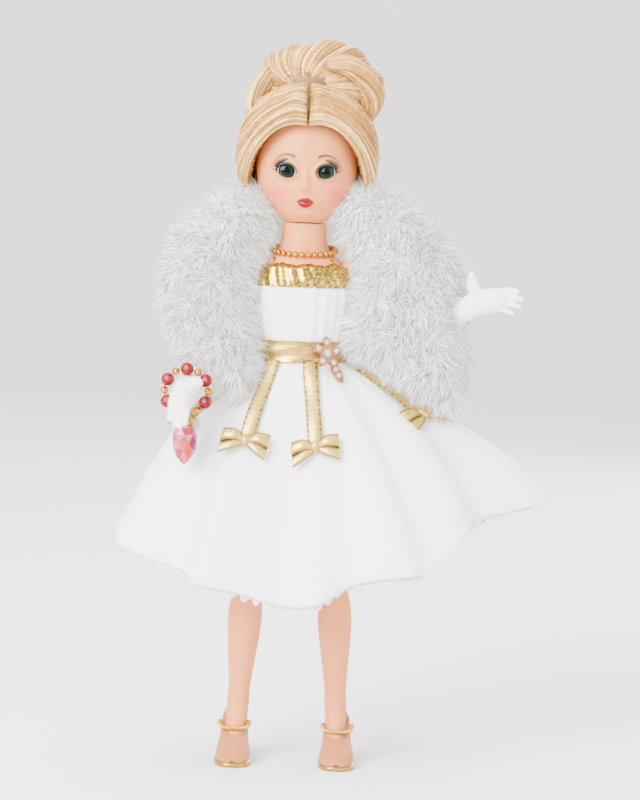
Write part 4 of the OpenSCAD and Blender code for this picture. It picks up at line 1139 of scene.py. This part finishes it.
class DOLL_OT_ribbons(DollOperator, bpy.types.Operator):
    """Hangs the eight gold streamers and ties their bows"""
    bl_idname = "doll.ribbons"
    bl_label = "Streamers and bows"

    def build(self, context):
        ribbon = ribbon_material()
        bows, selvedges = [], []
        for i, az in enumerate(STREAMER_AZ, 1):
            finish_piece(self.streamer(i, az, ribbon), "torso", "gold_ribbon", f"streamer_{i}")
            spot = np.array([az]), np.array([RIBBON_END + 0.022])
            across, down, out = (v[0] for v in skirt_frame(*spot))
            seat = skirt_point(*spot)[0] + out * 2.6
            basis = np.stack([across, -down, out], 1)
            for points, faces, selvedge in self.bow():
                bows.append((points @ basis.T + seat, faces))
                selvedges.append(selvedge)
        points, faces = joined(bows)
        piece = mesh_piece("ribbon_bow_ties", points, faces, ribbon,
                           values={"selvedge": np.concatenate(selvedges), "dots": np.ones(len(points))})
        finish_piece(piece, "torso", "gold_ribbon", "ribbon_bows")

    @staticmethod
    def streamer(i, az, ribbon):
        """A ribbon that lies down the skirt from the belt and flutters a little."""
        rows, columns = 46, 9
        share = np.linspace(0.015, RIBBON_END + 0.012, rows)
        across, _, out = skirt_frame(np.full(rows, az), share)
        centre = skirt_point(np.full(rows, az), share)
        offset = np.linspace(-0.5, 0.5, columns)
        flutter = 0.35 * np.sin(np.linspace(0, 9, rows) + i) + 1.5
        p = (centre[:, None] + across[:, None] * (offset * RIBBON_W)[None, :, None]
             + out[:, None] * (flutter[:, None] + 0.25 * np.cos(offset * 5)[None, :])[..., None])
        normal = np.repeat(out[:, None], columns, 1).reshape(-1, 3)
        points, faces = thick(p.reshape(-1, 3), grid_faces(rows, columns), rows, columns, normal, 0.3, False)
        edge = np.tile((np.abs(offset) > 0.36).astype(float), rows)
        dots = np.repeat((np.sin(np.arange(rows) * 2.4) > -0.2).astype(float), columns)
        return mesh_piece(f"streamer_ribbon_{i}", points, faces, ribbon,
                          values={"selvedge": np.tile(edge, 2), "dots": np.tile(dots, 2)})

    @staticmethod
    def bow():
        """Two loops, two tails and a wrapped knot, in a frame whose Y is up and Z is out."""
        rows, columns = 22, 5
        # Each: the line it follows, its least and greatest width, and the last angle of its swell.
        loop = ([(0.6, 0, 0.4), (4, 0.9, 1.9), (8.2, 0.6, 1.2), (8.6, 0.3, 0.1), (5, -0.1, -0.6), (0.6, 0, -0.3)],
                2.6, 4.9, 0.95 * math.pi)
        tail = ([(0.8, -0.6, 0.2), (4.4, -2.6, 0.8), (8.8, -4.4, 0.1)], 3.0, 4.6, 0.5 * math.pi)
        offset = np.linspace(-0.5, 0.5, columns)
        out = []
        for side in (-1, 1):
            for keys, least, most, swell in (loop, tail):
                line = curve_through(keys, rows) * np.array([side, 1, 1])
                width = least + (most - least) * np.sin(np.linspace(0.15, swell, rows))
                p = line[:, None] + np.stack([np.zeros((rows, columns)), offset[None] * width[:, None],
                                              np.tile(0.3 * np.cos(offset * 6), (rows, 1))], -1)
                normal = np.tile([0, 0, 1.0], (rows * columns, 1))
                points, faces = thick(p.reshape(-1, 3), grid_faces(rows, columns), rows, columns, normal, 0.28,
                                      False)
                out.append((points, faces, np.tile((np.abs(offset) > 0.4).astype(float), rows * 2)))
        knot, faces = ball((0, 0, 0.6), (1.7, 2.1, 1.3), 12, 16)
        out.append((knot, faces, np.zeros(len(knot))))
        return out


# ---------- fur stole ----------

RIGHT_HALF = [(-15, 214), (-24, 214), (-34, 209), (-42, 202), (-48, 190), (-50, 176), (-47.5, 163), (-42, 152),
              (-32, 143), (-22, 137), (-15, 136), (-14.5, 144), (-17, 158), (-19, 172), (-18, 186), (-14, 197),
              (-12.5, 206)]
LEFT_HALF = [(13, 215), (22, 217), (33, 213), (43, 206), (51, 198), (57.5, 187), (60, 172), (61, 156), (60, 140),
             (54, 136), (46, 141), (36, 148), (27, 154), (18, 158), (18, 170), (22, 182), (19, 194), (13, 205)]


# Half the stole's depth from front to back, and how wide its rounded rim is.
FUR_DEEP = 14.5
FUR_RIM = 12
# How far back each half lies, by height: heights, then places.
RIGHT_LIE = ([136, 165, 190, 214], [-6, -3, 0, 5])
LEFT_LIE = ([134, 160, 190, 217], [-5, -4, -1, 5])
FRONT_SHARE = 0.62
INNER_SHARE = 0.16


def inside_outline(x, z, outline):
    """Whether points lie in a closed outline."""
    hit = np.zeros(x.shape, bool)
    for (x0, z0), (x1, z1) in zip(outline, outline[1:] + outline[:1]):
        crosses = (z0 > z) != (z1 > z)
        at = x0 + (x1 - x0) * (z - z0) / ((z1 - z0) or 1e-9)
        hit ^= crosses & (x < at)
    return hit


def rim_distance(x, z, outline):
    """How far points lie from an outline."""
    best = np.full(x.shape, 1e9)
    for (x0, z0), (x1, z1) in zip(outline, outline[1:] + outline[:1]):
        dx, dz = x1 - x0, z1 - z0
        t = np.clip(((x - x0) * dx + (z - z0) * dz) / (dx * dx + dz * dz), 0, 1)
        best = np.minimum(best, np.hypot(x - x0 - t * dx, z - z0 - t * dz))
    return best


def fibre_mesh(roots, normals, lengths, rng):
    """Soft tapering fibres that bend together in tufts; each is a quad and a tip."""
    n, clump, drop = len(roots), 5.5, 0.45
    lean = np.array([[noise(Vector(r / clump)), noise(Vector(r / clump + 31)), noise(Vector(r / clump + 67))]
                     for r in roots])
    tuft = np.array([noise(Vector(r / 8 + 11)) for r in roots]) * 0.9 + 0.35
    d = unit(normals + 0.8 * lean + np.array([0, 0, -drop]) + rng.normal(0, 0.28, (n, 3)))
    bend = unit(d + 0.9 * lean + np.array([0, 0, -1.1 * drop]) + rng.normal(0, 0.3, (n, 3)))
    side = unit(np.cross(d, rng.normal(0, 1, (n, 3))))
    width = rng.uniform(0.06, 0.14, n)[:, None]
    mid = roots + d * (lengths * 0.5)[:, None]
    tip = mid + bend * (lengths * 0.5)[:, None]
    points = np.stack([roots - side * width, roots + side * width, mid + side * width * 0.75,
                       mid - side * width * 0.75, tip], 1).reshape(-1, 3)
    base = np.arange(n)[:, None] * 5
    quads = (base + np.array([0, 1, 2, 3])).tolist()
    tips = (base + np.array([3, 2, 4])).tolist()
    return points, quads + tips, np.tile([0.1, 0.1, 0.55, 0.55, 1.0], n), np.repeat(np.clip(tuft, 0, 1), 5)


def fur_piece(name, backing, roots, normals, lengths, rng):
    """Backing and pile in one mesh; the pile takes much of its shading from the backing, so it looks soft."""
    points, fibre_faces, tip, tuft = fibre_mesh(roots, normals, lengths, rng)
    base, normals = backing[0], np.repeat(normals, 5, 0)
    all_points, all_faces = joined([backing, (points, fibre_faces)])
    # The backing takes the tip value 0.15, so it is painted in the pile's root shade.
    piece = mesh_piece(name, all_points, all_faces, shared(fur_material),
                       values={"tip": np.concatenate([np.full(len(base), 0.15), tip]),
                               "tuft": np.concatenate([np.zeros(len(base)), tuft])})
    own = np.empty(len(all_points) * 3, np.float32)
    piece.data.vertex_normals.foreach_get("vector", own)
    own = own.reshape(-1, 3)
    pile = own[len(base):]
    facing = np.sign((pile * normals).sum(1, keepdims=True) + 1e-9)
    own[len(base):] = unit(0.8 * normals + 0.35 * facing * pile + np.array([0, 0, 0.12]))
    piece.data.normals_split_custom_set_from_vertices(own.tolist())
    return piece


def fur_half(outline, lie, name, rng, count, length):
    """A pillow of fur inside an outline seen from the front."""
    xs, zs = [p[0] for p in outline], [p[1] for p in outline]

    def skin(x, z):
        rim = np.clip(rim_distance(x, z, outline) / FUR_RIM, 0, 1)
        lump = np.array([noise(Vector((float(a) / 11, float(b) / 11, 3.0))) for a, b in zip(x.ravel(), z.ravel())])
        return FUR_DEEP * np.sqrt(np.clip(1 - (1 - rim) ** 2, 0, 1)) * (1 + 0.22 * lump.reshape(x.shape))

    step = 1.3
    gx, gz = np.meshgrid(np.arange(min(xs) - step, max(xs) + step, step),
                         np.arange(min(zs) - step, max(zs) + step, step), indexing="ij")
    good = inside_outline(gx, gz, outline)
    half = np.where(good, skin(gx, gz), 0)
    mid = np.interp(gz, *lie)
    front = np.stack([gx, mid - half, gz], -1).reshape(-1, 3)
    back = np.stack([gx, mid + half, gz], -1).reshape(-1, 3)
    good = good.reshape(-1)
    quads = [f for f in grid_faces(*gx.shape) if all(good[list(f)])]
    n = len(front)
    faces = quads + [tuple(i + n for i in f[::-1]) for f in quads] + open_rim(quads, n)
    x = rng.uniform(min(xs), max(xs), count * 3)
    z = rng.uniform(min(zs), max(zs), count * 3)
    ok = inside_outline(x, z, outline)
    x, z = x[ok][:count], z[ok][:count]
    sign = np.where(rng.uniform(0, 1, len(x)) < FRONT_SHARE, -1.0, 1.0)
    h = skin(x, z)
    e = 0.8
    hx = (skin(x + e, z) - skin(x - e, z)) / (2 * e)
    hz = (skin(x, z + e) - skin(x, z - e)) / (2 * e)
    roots = np.stack([x, np.interp(z, *lie) + sign * h, z], -1)
    normals = unit(np.stack([-hx, sign, -hz], -1))
    rim = np.clip(rim_distance(x, z, outline) / FUR_RIM, 0, 1)
    lengths = length * rng.uniform(0.55, 1.0, len(x)) * (0.72 + 0.28 * (1 - rim))
    return fur_piece(name, trimmed(np.vstack([front, back]), faces), roots, normals, lengths, rng)


class DOLL_OT_fur(DollOperator, bpy.types.Operator):
    """Lays the long-pile stole round the shoulders and over the arms"""
    bl_idname = "doll.fur"
    bl_label = "Fur stole"

    def build(self, context):
        rng = np.random.default_rng(23)
        length = sizes().fur_length / MM
        count = sizes().fur_count
        for side, name, outline, lie in ((-1, "right", RIGHT_HALF, RIGHT_LIE), (1, "left", LEFT_HALF, LEFT_LIE)):
            half = fur_half(outline, lie, f"stole_fur_{name}", rng, count, length)
            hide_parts(f"stole_{name}")
            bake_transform(half)
        self.back(rng, length, int(count * 0.9))

    @staticmethod
    def back(rng, length, count):
        """The part behind the neck and shoulders: a curved band, furred on both faces."""
        def band(a, t):
            z = 160 + 54 * t
            wide = np.interp(t, [0, 0.5, 0.8, 1], [27, 31, 28, 23.5])
            deep = np.interp(t, [0, 0.5, 0.8, 1], [21, 22, 23, 20])
            return np.stack([wide * np.cos(a), 1.0 + deep * np.sin(a), z + 1.5 * np.sin(a * 5)], -1)
        rows, columns = 34, 70
        t, a = np.meshgrid(np.linspace(0, 1, rows), np.linspace(math.radians(8), math.radians(172), columns),
                           indexing="ij")
        p = band(a, t)
        out = unit(np.stack([np.cos(a) / 30, np.sin(a) / 23, 0 * a], -1))
        points, faces = thick((p + out * 1.5).reshape(-1, 3), [f[::-1] for f in grid_faces(rows, columns)], rows,
                              columns, out.reshape(-1, 3), 5.0, False)
        q = rng.uniform(0, 1, count)
        b = rng.uniform(math.radians(5), math.radians(175), count)
        roots = band(b, q)
        n = unit(np.stack([np.cos(b) / 30, np.sin(b) / 23, 0 * b], -1))
        inside = rng.uniform(0, 1, count) < INNER_SHARE
        roots = roots + np.where(inside, -3.0, 1.4)[:, None] * n
        n = np.where(inside[:, None], -n, n) + np.stack([0 * q, 0 * q, np.where(q > 0.88, 1.6, 0.0)], -1)
        lengths = length * rng.uniform(0.55, 1.0, count) * np.where(inside, 0.35, 1)
        piece = fur_piece("stole_fur_back", (points, faces), roots, unit(n), lengths, rng)
        finish_piece(piece, "torso", "fur", "stole_back")


# ---------- gloved hands ----------

# Wrist, palm, thumb and four fingers: each a line, its radii and how flat it is.
RIGHT_HAND = (
    ([(-39.4, -15, 146), (-40.6, -26, 143), (-41.2, -33.2, 141)], (4.4, 4.0, 4.5), 1.0),
    ([(-41.4, -32, 140.8), (-41.9, -37.5, 138.8), (-42.3, -41, 137)], (4.2, 4.7, 4.4), 0.95),
    ([(-40.5, -34, 142), (-37.2, -36, 144.8), (-35.6, -39, 145)], (2.4, 2.45, 1.5), 1.0),
    ([(-39.9, -40, 137.6), (-39.6, -43.4, 134.2), (-39.9, -44.6, 130.6)], (1.4, 1.2, 0.95), 1.0),
    ([(-41.5, -40.6, 137), (-41.6, -44, 133.2), (-41.8, -45, 129.4)], (1.4, 1.25, 0.95), 1.0),
    ([(-43.2, -40.4, 136.8), (-43.6, -43.6, 133.2), (-43.7, -44.4, 129.9)], (1.35, 1.2, 0.9), 1.0),
    ([(-44.7, -39.6, 136.8), (-45.6, -42.2, 133.8), (-45.7, -43, 131.4)], (1.25, 1.05, 0.8), 1.0))
LEFT_HAND = (
    ([(46, -9.6, 160.7), (56.5, -13, 171), (63.8, -15.2, 176.0)], (4.9, 4.2, 4.4), 1.0),
    ([(64, -14.7, 175.8), (68.5, -15.6, 177.2), (71.8, -16.1, 178)], (4.2, 4.7, 4.4), 0.95),
    ([(65, -14.8, 178.6), (62.7, -16, 182.8), (62.0, -17, 186.6)], (2.5, 2.45, 1.4), 1.0),
    ([(71.5, -16.6, 180.2), (75.6, -18, 181.6), (78.9, -20, 181.4)], (1.45, 1.25, 0.95), 1.0),
    ([(72.2, -16.6, 178.8), (76.8, -18, 179.2), (80.3, -20.4, 178.6)], (1.5, 1.3, 1.0), 1.0),
    ([(72, -16.4, 176.9), (76.4, -17.8, 176.6), (79.8, -20, 175.8)], (1.4, 1.25, 0.95), 1.0),
    ([(71, -16.1, 175), (74.6, -17.2, 174.2), (77.4, -19, 173.3)], (1.3, 1.1, 0.85), 1.0))


class DOLL_OT_hands(DollOperator, bpy.types.Operator):
    """Models the gloved hands with separate fingers"""
    bl_idname = "doll.hands"
    bl_label = "Gloved hands"

    def build(self, context):
        for name, lines, squeeze in (("right", RIGHT_HAND, (1, 0.05, 0)), ("left", LEFT_HAND, (0, -1, 0.2))):
            shapes = []
            for keys, radii, flat in lines:
                path = curve_through(keys, 14)
                r = np.interp(np.linspace(0, 1, 14), np.linspace(0, 1, len(radii)), radii)
                shapes.append(tube(path, r, 14, flat, squeeze))
                shapes.append(ball(path[-1], (r[-1],) * 3, 8, 12))
            hand = mesh_piece(f"gloved_hand_{name}", *joined(shapes), shared(glove_material))
            fuse(hand, shared(glove_material), 0.34, 4)
            finish_piece(hand, f"arm_{name}", "glove", f"glove_{name}")


# ---------- shoes ----------

SHOE_X = 19.4
SHOE_SIDES = 28
# Each row of the upper: place from the heel forward, half width, underside and top.
PUMP_ROWS = curve_through([(10.2, 3.4, 12.8, 17.6), (8.6, 4.6, 12.0, 19.0), (4, 4.9, 9.6, 17.6), (0, 5.2, 6.2, 14.4),
                           (-4, 5.9, 3.0, 11.4), (-7.5, 6.4, 1.5, 9.8), (-11, 6.3, 1.25, 7.6),
                           (-14.4, 5.1, 1.25, 5.2), (-16.6, 3.0, 1.3, 3.6), (-17.3, 0.9, 1.6, 2.6)], 46)


class DOLL_OT_shoes(DollOperator, bpy.types.Operator):
    """Lasts the high-heeled pumps with their ruched gold trim and gold toes"""
    bl_idname = "doll.shoes"
    bl_label = "Pumps"

    def build(self, context):
        cloth = shared(shoe_material)
        trim = metal_material("ruched_trim_lame", linear("#DDB85A"), 0.35)
        sole = metal_material("sole_gilt_lacquered", linear("#C79A35"), 0.3)
        for side, name in ((-1, "right"), (1, "left")):
            at = side * SHOE_X
            parts = (("pump", self.upper(at), cloth, "shoe", "shoe_upper"),
                     ("ruched_braid", self.braid(at), trim, "shoe", "shoe_trim"),
                     ("gilt_sole", self.sole(at), sole, "shoe_sole", "shoe_sole"))
            for piece, shape, material, slot, node in parts:
                finish_piece(mesh_piece(f"{piece}_{name}", *shape, material), f"calf_{name}", slot, f"{node}_{name}")

    @staticmethod
    def upper(at):
        """The closed upper, cut low at the back so that the foot shows in its mouth, with the heel."""
        q = np.linspace(0, 2 * math.pi, SHOE_SIDES, endpoint=False)
        c, d = np.cos(q), np.sin(q)
        rings = []
        for y, half, low, high in PUMP_ROWS:
            middle = low + (high - low) * 0.32
            z = np.where(d > 0, middle + (high - middle) * np.abs(d) ** 0.9,
                         middle - (middle - low) * np.abs(d) ** 0.45)
            rings.append(np.stack([at + half * np.sign(c) * np.abs(c) ** 0.8, np.full(SHOE_SIDES, y), z], -1))
        body = np.array(rings)
        last = (len(rings) - 1) * SHOE_SIDES
        faces = grid_faces(len(rings), SHOE_SIDES, wrap=True)
        faces += [tuple(range(SHOE_SIDES)), tuple(range(last, last + SHOE_SIDES))[::-1]]
        mouth = np.interp(body[..., 1], [-17.4, -6.2, -4.6, 6, 8.5, 10.5], [30, 30, 11.8, 14.6, 19.4, 19.4])
        body[..., 2] = np.minimum(body[..., 2], np.maximum(mouth, body[..., 2].min(1, keepdims=True) + 2.2))
        line = curve_through([(at, y, z) for y, z in ((8.4, 13.4), (8.6, 9), (8.5, 4.5), (8.4, 0.9))], 18)
        radii = np.interp(np.linspace(0, 1, 18), [0, 0.33, 0.66, 1], [4.0, 2.6, 2.0, 2.1])
        return joined([(body.reshape(-1, 3), faces), tube(line, radii, 20, 0.9, (0, 1, 0))])

    @staticmethod
    def braid(at):
        """Gathered braid along the mouth, over the instep and back toward the heel."""
        half = [(5.3, 1.6, 14.2), (5.2, -1.2, 13.4), (4.3, -3.6, 12.7), (2.3, -5.2, 12.5)]
        keys = [(at - x, y, z) for x, y, z in half] + [(at, -5.7, 12.6)] + [(at + x, y, z) for x, y, z in half[::-1]]
        count = 150
        swell = np.sin(np.linspace(0.3, math.pi - 0.3, count)) ** 0.35
        ruche = 1.25 * (1 + 0.2 * np.sin(np.arange(count) * 1.5)) * swell
        return tube(curve_through(keys, count), ruche, 12, 0.62, (0, 0.6, 1))

    @staticmethod
    def sole(at):
        """The gilt sole: thin under the ball, with a welt that shows round the toe."""
        outline, columns = PUMP_ROWS[PUMP_ROWS[:, 0] < 6], 9
        left = np.stack([at - outline[:, 1] - 0.35, outline[:, 0] - 0.2, outline[:, 2] - 0.35], -1)
        right = left * [-1, 1, 1] + [2 * at, 0, 0]
        top = left[:, None] + (right - left)[:, None] * np.linspace(0, 1, columns)[None, :, None]
        top[..., 2] = np.maximum(top[..., 2], 0.9)
        rows = len(outline)
        up = np.tile([0, 0, 1.0], (rows * columns, 1))
        points, faces = thick(top.reshape(-1, 3) + up * 0.75, grid_faces(rows, columns), rows, columns, up, 1.4, False)
        points[:, 2] = np.maximum(points[:, 2], 0.0)
        return points, faces


# ---------- jewellery ----------

BAG_RING = np.array([-40.6, -27.5, 141.0])
BAG_RING_R = 8
# The drop's radius at each height.
DROP_PROFILE = ((2.0, 128.9), (3.4, 127.6), (4.4, 125.2), (4.7, 122.6), (4.2, 119.8), (3.0, 117), (1.5, 115),
                (0.15, 113.9))


class DOLL_OT_jewellery(DollOperator, bpy.types.Operator):
    """Sets the necklace, earrings, brooch, straps and the beaded bag"""
    bl_idname = "doll.jewellery"
    bl_label = "Jewellery and bag"

    def build(self, context):
        gold = metal_material("gold_plate_polished", list(colours().gold), 0.16)
        for node in ("necklace_beads", "necklace_wire", "shoulder_straps", "earrings", "bag_gold_beads", "bag_wire",
                     "bag_cap"):
            dress(node, gold)
        dress("brooch_setting", metal_material("rose_gold_cast", linear("#D08E68"), 0.22))
        dress("brooch_stones", glass_material("rhinestone_clear_cut", linear("#F8F8FF"), 0.03, 0.6))
        parts = []
        for angle in (-30, 30, 90, 150, 210):
            q = math.radians(angle)
            parts.append(ball(BAG_RING + BAG_RING_R * np.array([math.cos(q), 0, math.sin(q)]), (2.5,) * 3, 7, 9))
        glass = glass_material("glass_bead_red_cut", linear("#78000A"), 0.06, 0.0)
        finish_piece(mesh_piece("bag_red_cut_beads", *joined(parts), glass, smooth=False), "bag", "red_bead",
                     "bag_red_beads")
        self.drop()

    @staticmethod
    def drop():
        """The crystal drop: rings of flats that narrow to a point, each row turned half a flat."""
        rng = np.random.default_rng(3)
        rows = []
        for i, (r, z) in enumerate(DROP_PROFILE):
            angles = [math.radians(22.5 * (i % 2)) + k * math.pi / 4 for k in range(8)]
            rows.append([np.array([BAG_RING[0] + r * math.cos(q), BAG_RING[1] + r * math.sin(q), z])
                         for q in angles])
        points, faces, facet = [], [], []

        def flat(*corners):
            start = len(points)
            points.extend(corners)
            faces.append(tuple(range(start, start + len(corners))))
            facet.extend([rng.uniform(0, 1)] * len(corners))
        for i, (a, b) in enumerate(zip(rows, rows[1:])):
            for k in range(8):
                m = (k + 1) % 8
                if i % 2:
                    flat(a[k], b[m], b[k])
                    flat(a[k], a[m], b[m])
                else:
                    flat(a[k], a[m], b[k])
                    flat(a[m], b[m], b[k])
        flat(*rows[0][::-1])
        flat(*rows[-1])
        drop = mesh_piece("bag_cut_drop", points, faces, crystal_material(), smooth=False, values={"facet": facet})
        finish_piece(drop, "bag", "crystal", "bag_crystal")


class DOLL_PT_panel(bpy.types.Panel):
    """Lists every step of the doll, with its sizes and colours"""
    bl_idname = "DOLL_PT_panel"
    bl_label = "Jointed Fashion Doll"
    bl_space_type = "VIEW_3D"
    bl_region_type = "UI"
    bl_category = "Doll"

    def draw(self, context):
        for step in STEPS:
            self.layout.operator(f"doll.{step}")
        for group in (context.scene.doll_sizes, context.scene.doll_colours):
            for key in group.bl_rna.properties.keys():
                if key not in ("rna_type", "name"):
                    self.layout.prop(group, key)


CLASSES = (DollColours, DollSizes, DOLL_OT_stage, DOLL_OT_head, DOLL_OT_eyes, DOLL_OT_hair, DOLL_OT_body, DOLL_OT_legs,
           DOLL_OT_gown, DOLL_OT_ribbons, DOLL_OT_fur, DOLL_OT_hands, DOLL_OT_shoes, DOLL_OT_jewellery,
           DOLL_PT_panel)
STEPS = ("stage", "body", "legs", "head", "eyes", "hair", "gown", "ribbons", "fur", "hands", "shoes", "jewellery")


def register():
    for cls in CLASSES:
        bpy.utils.register_class(cls)
    bpy.types.Scene.doll_colours = bpy.props.PointerProperty(type=DollColours)
    bpy.types.Scene.doll_sizes = bpy.props.PointerProperty(type=DollSizes)


def unregister():
    del bpy.types.Scene.doll_sizes
    del bpy.types.Scene.doll_colours
    for cls in reversed(CLASSES):
        bpy.utils.unregister_class(cls)


def main():
    register()
    for step in STEPS:
        getattr(bpy.ops.doll, step)()


if __name__ == "__main__":
    main()
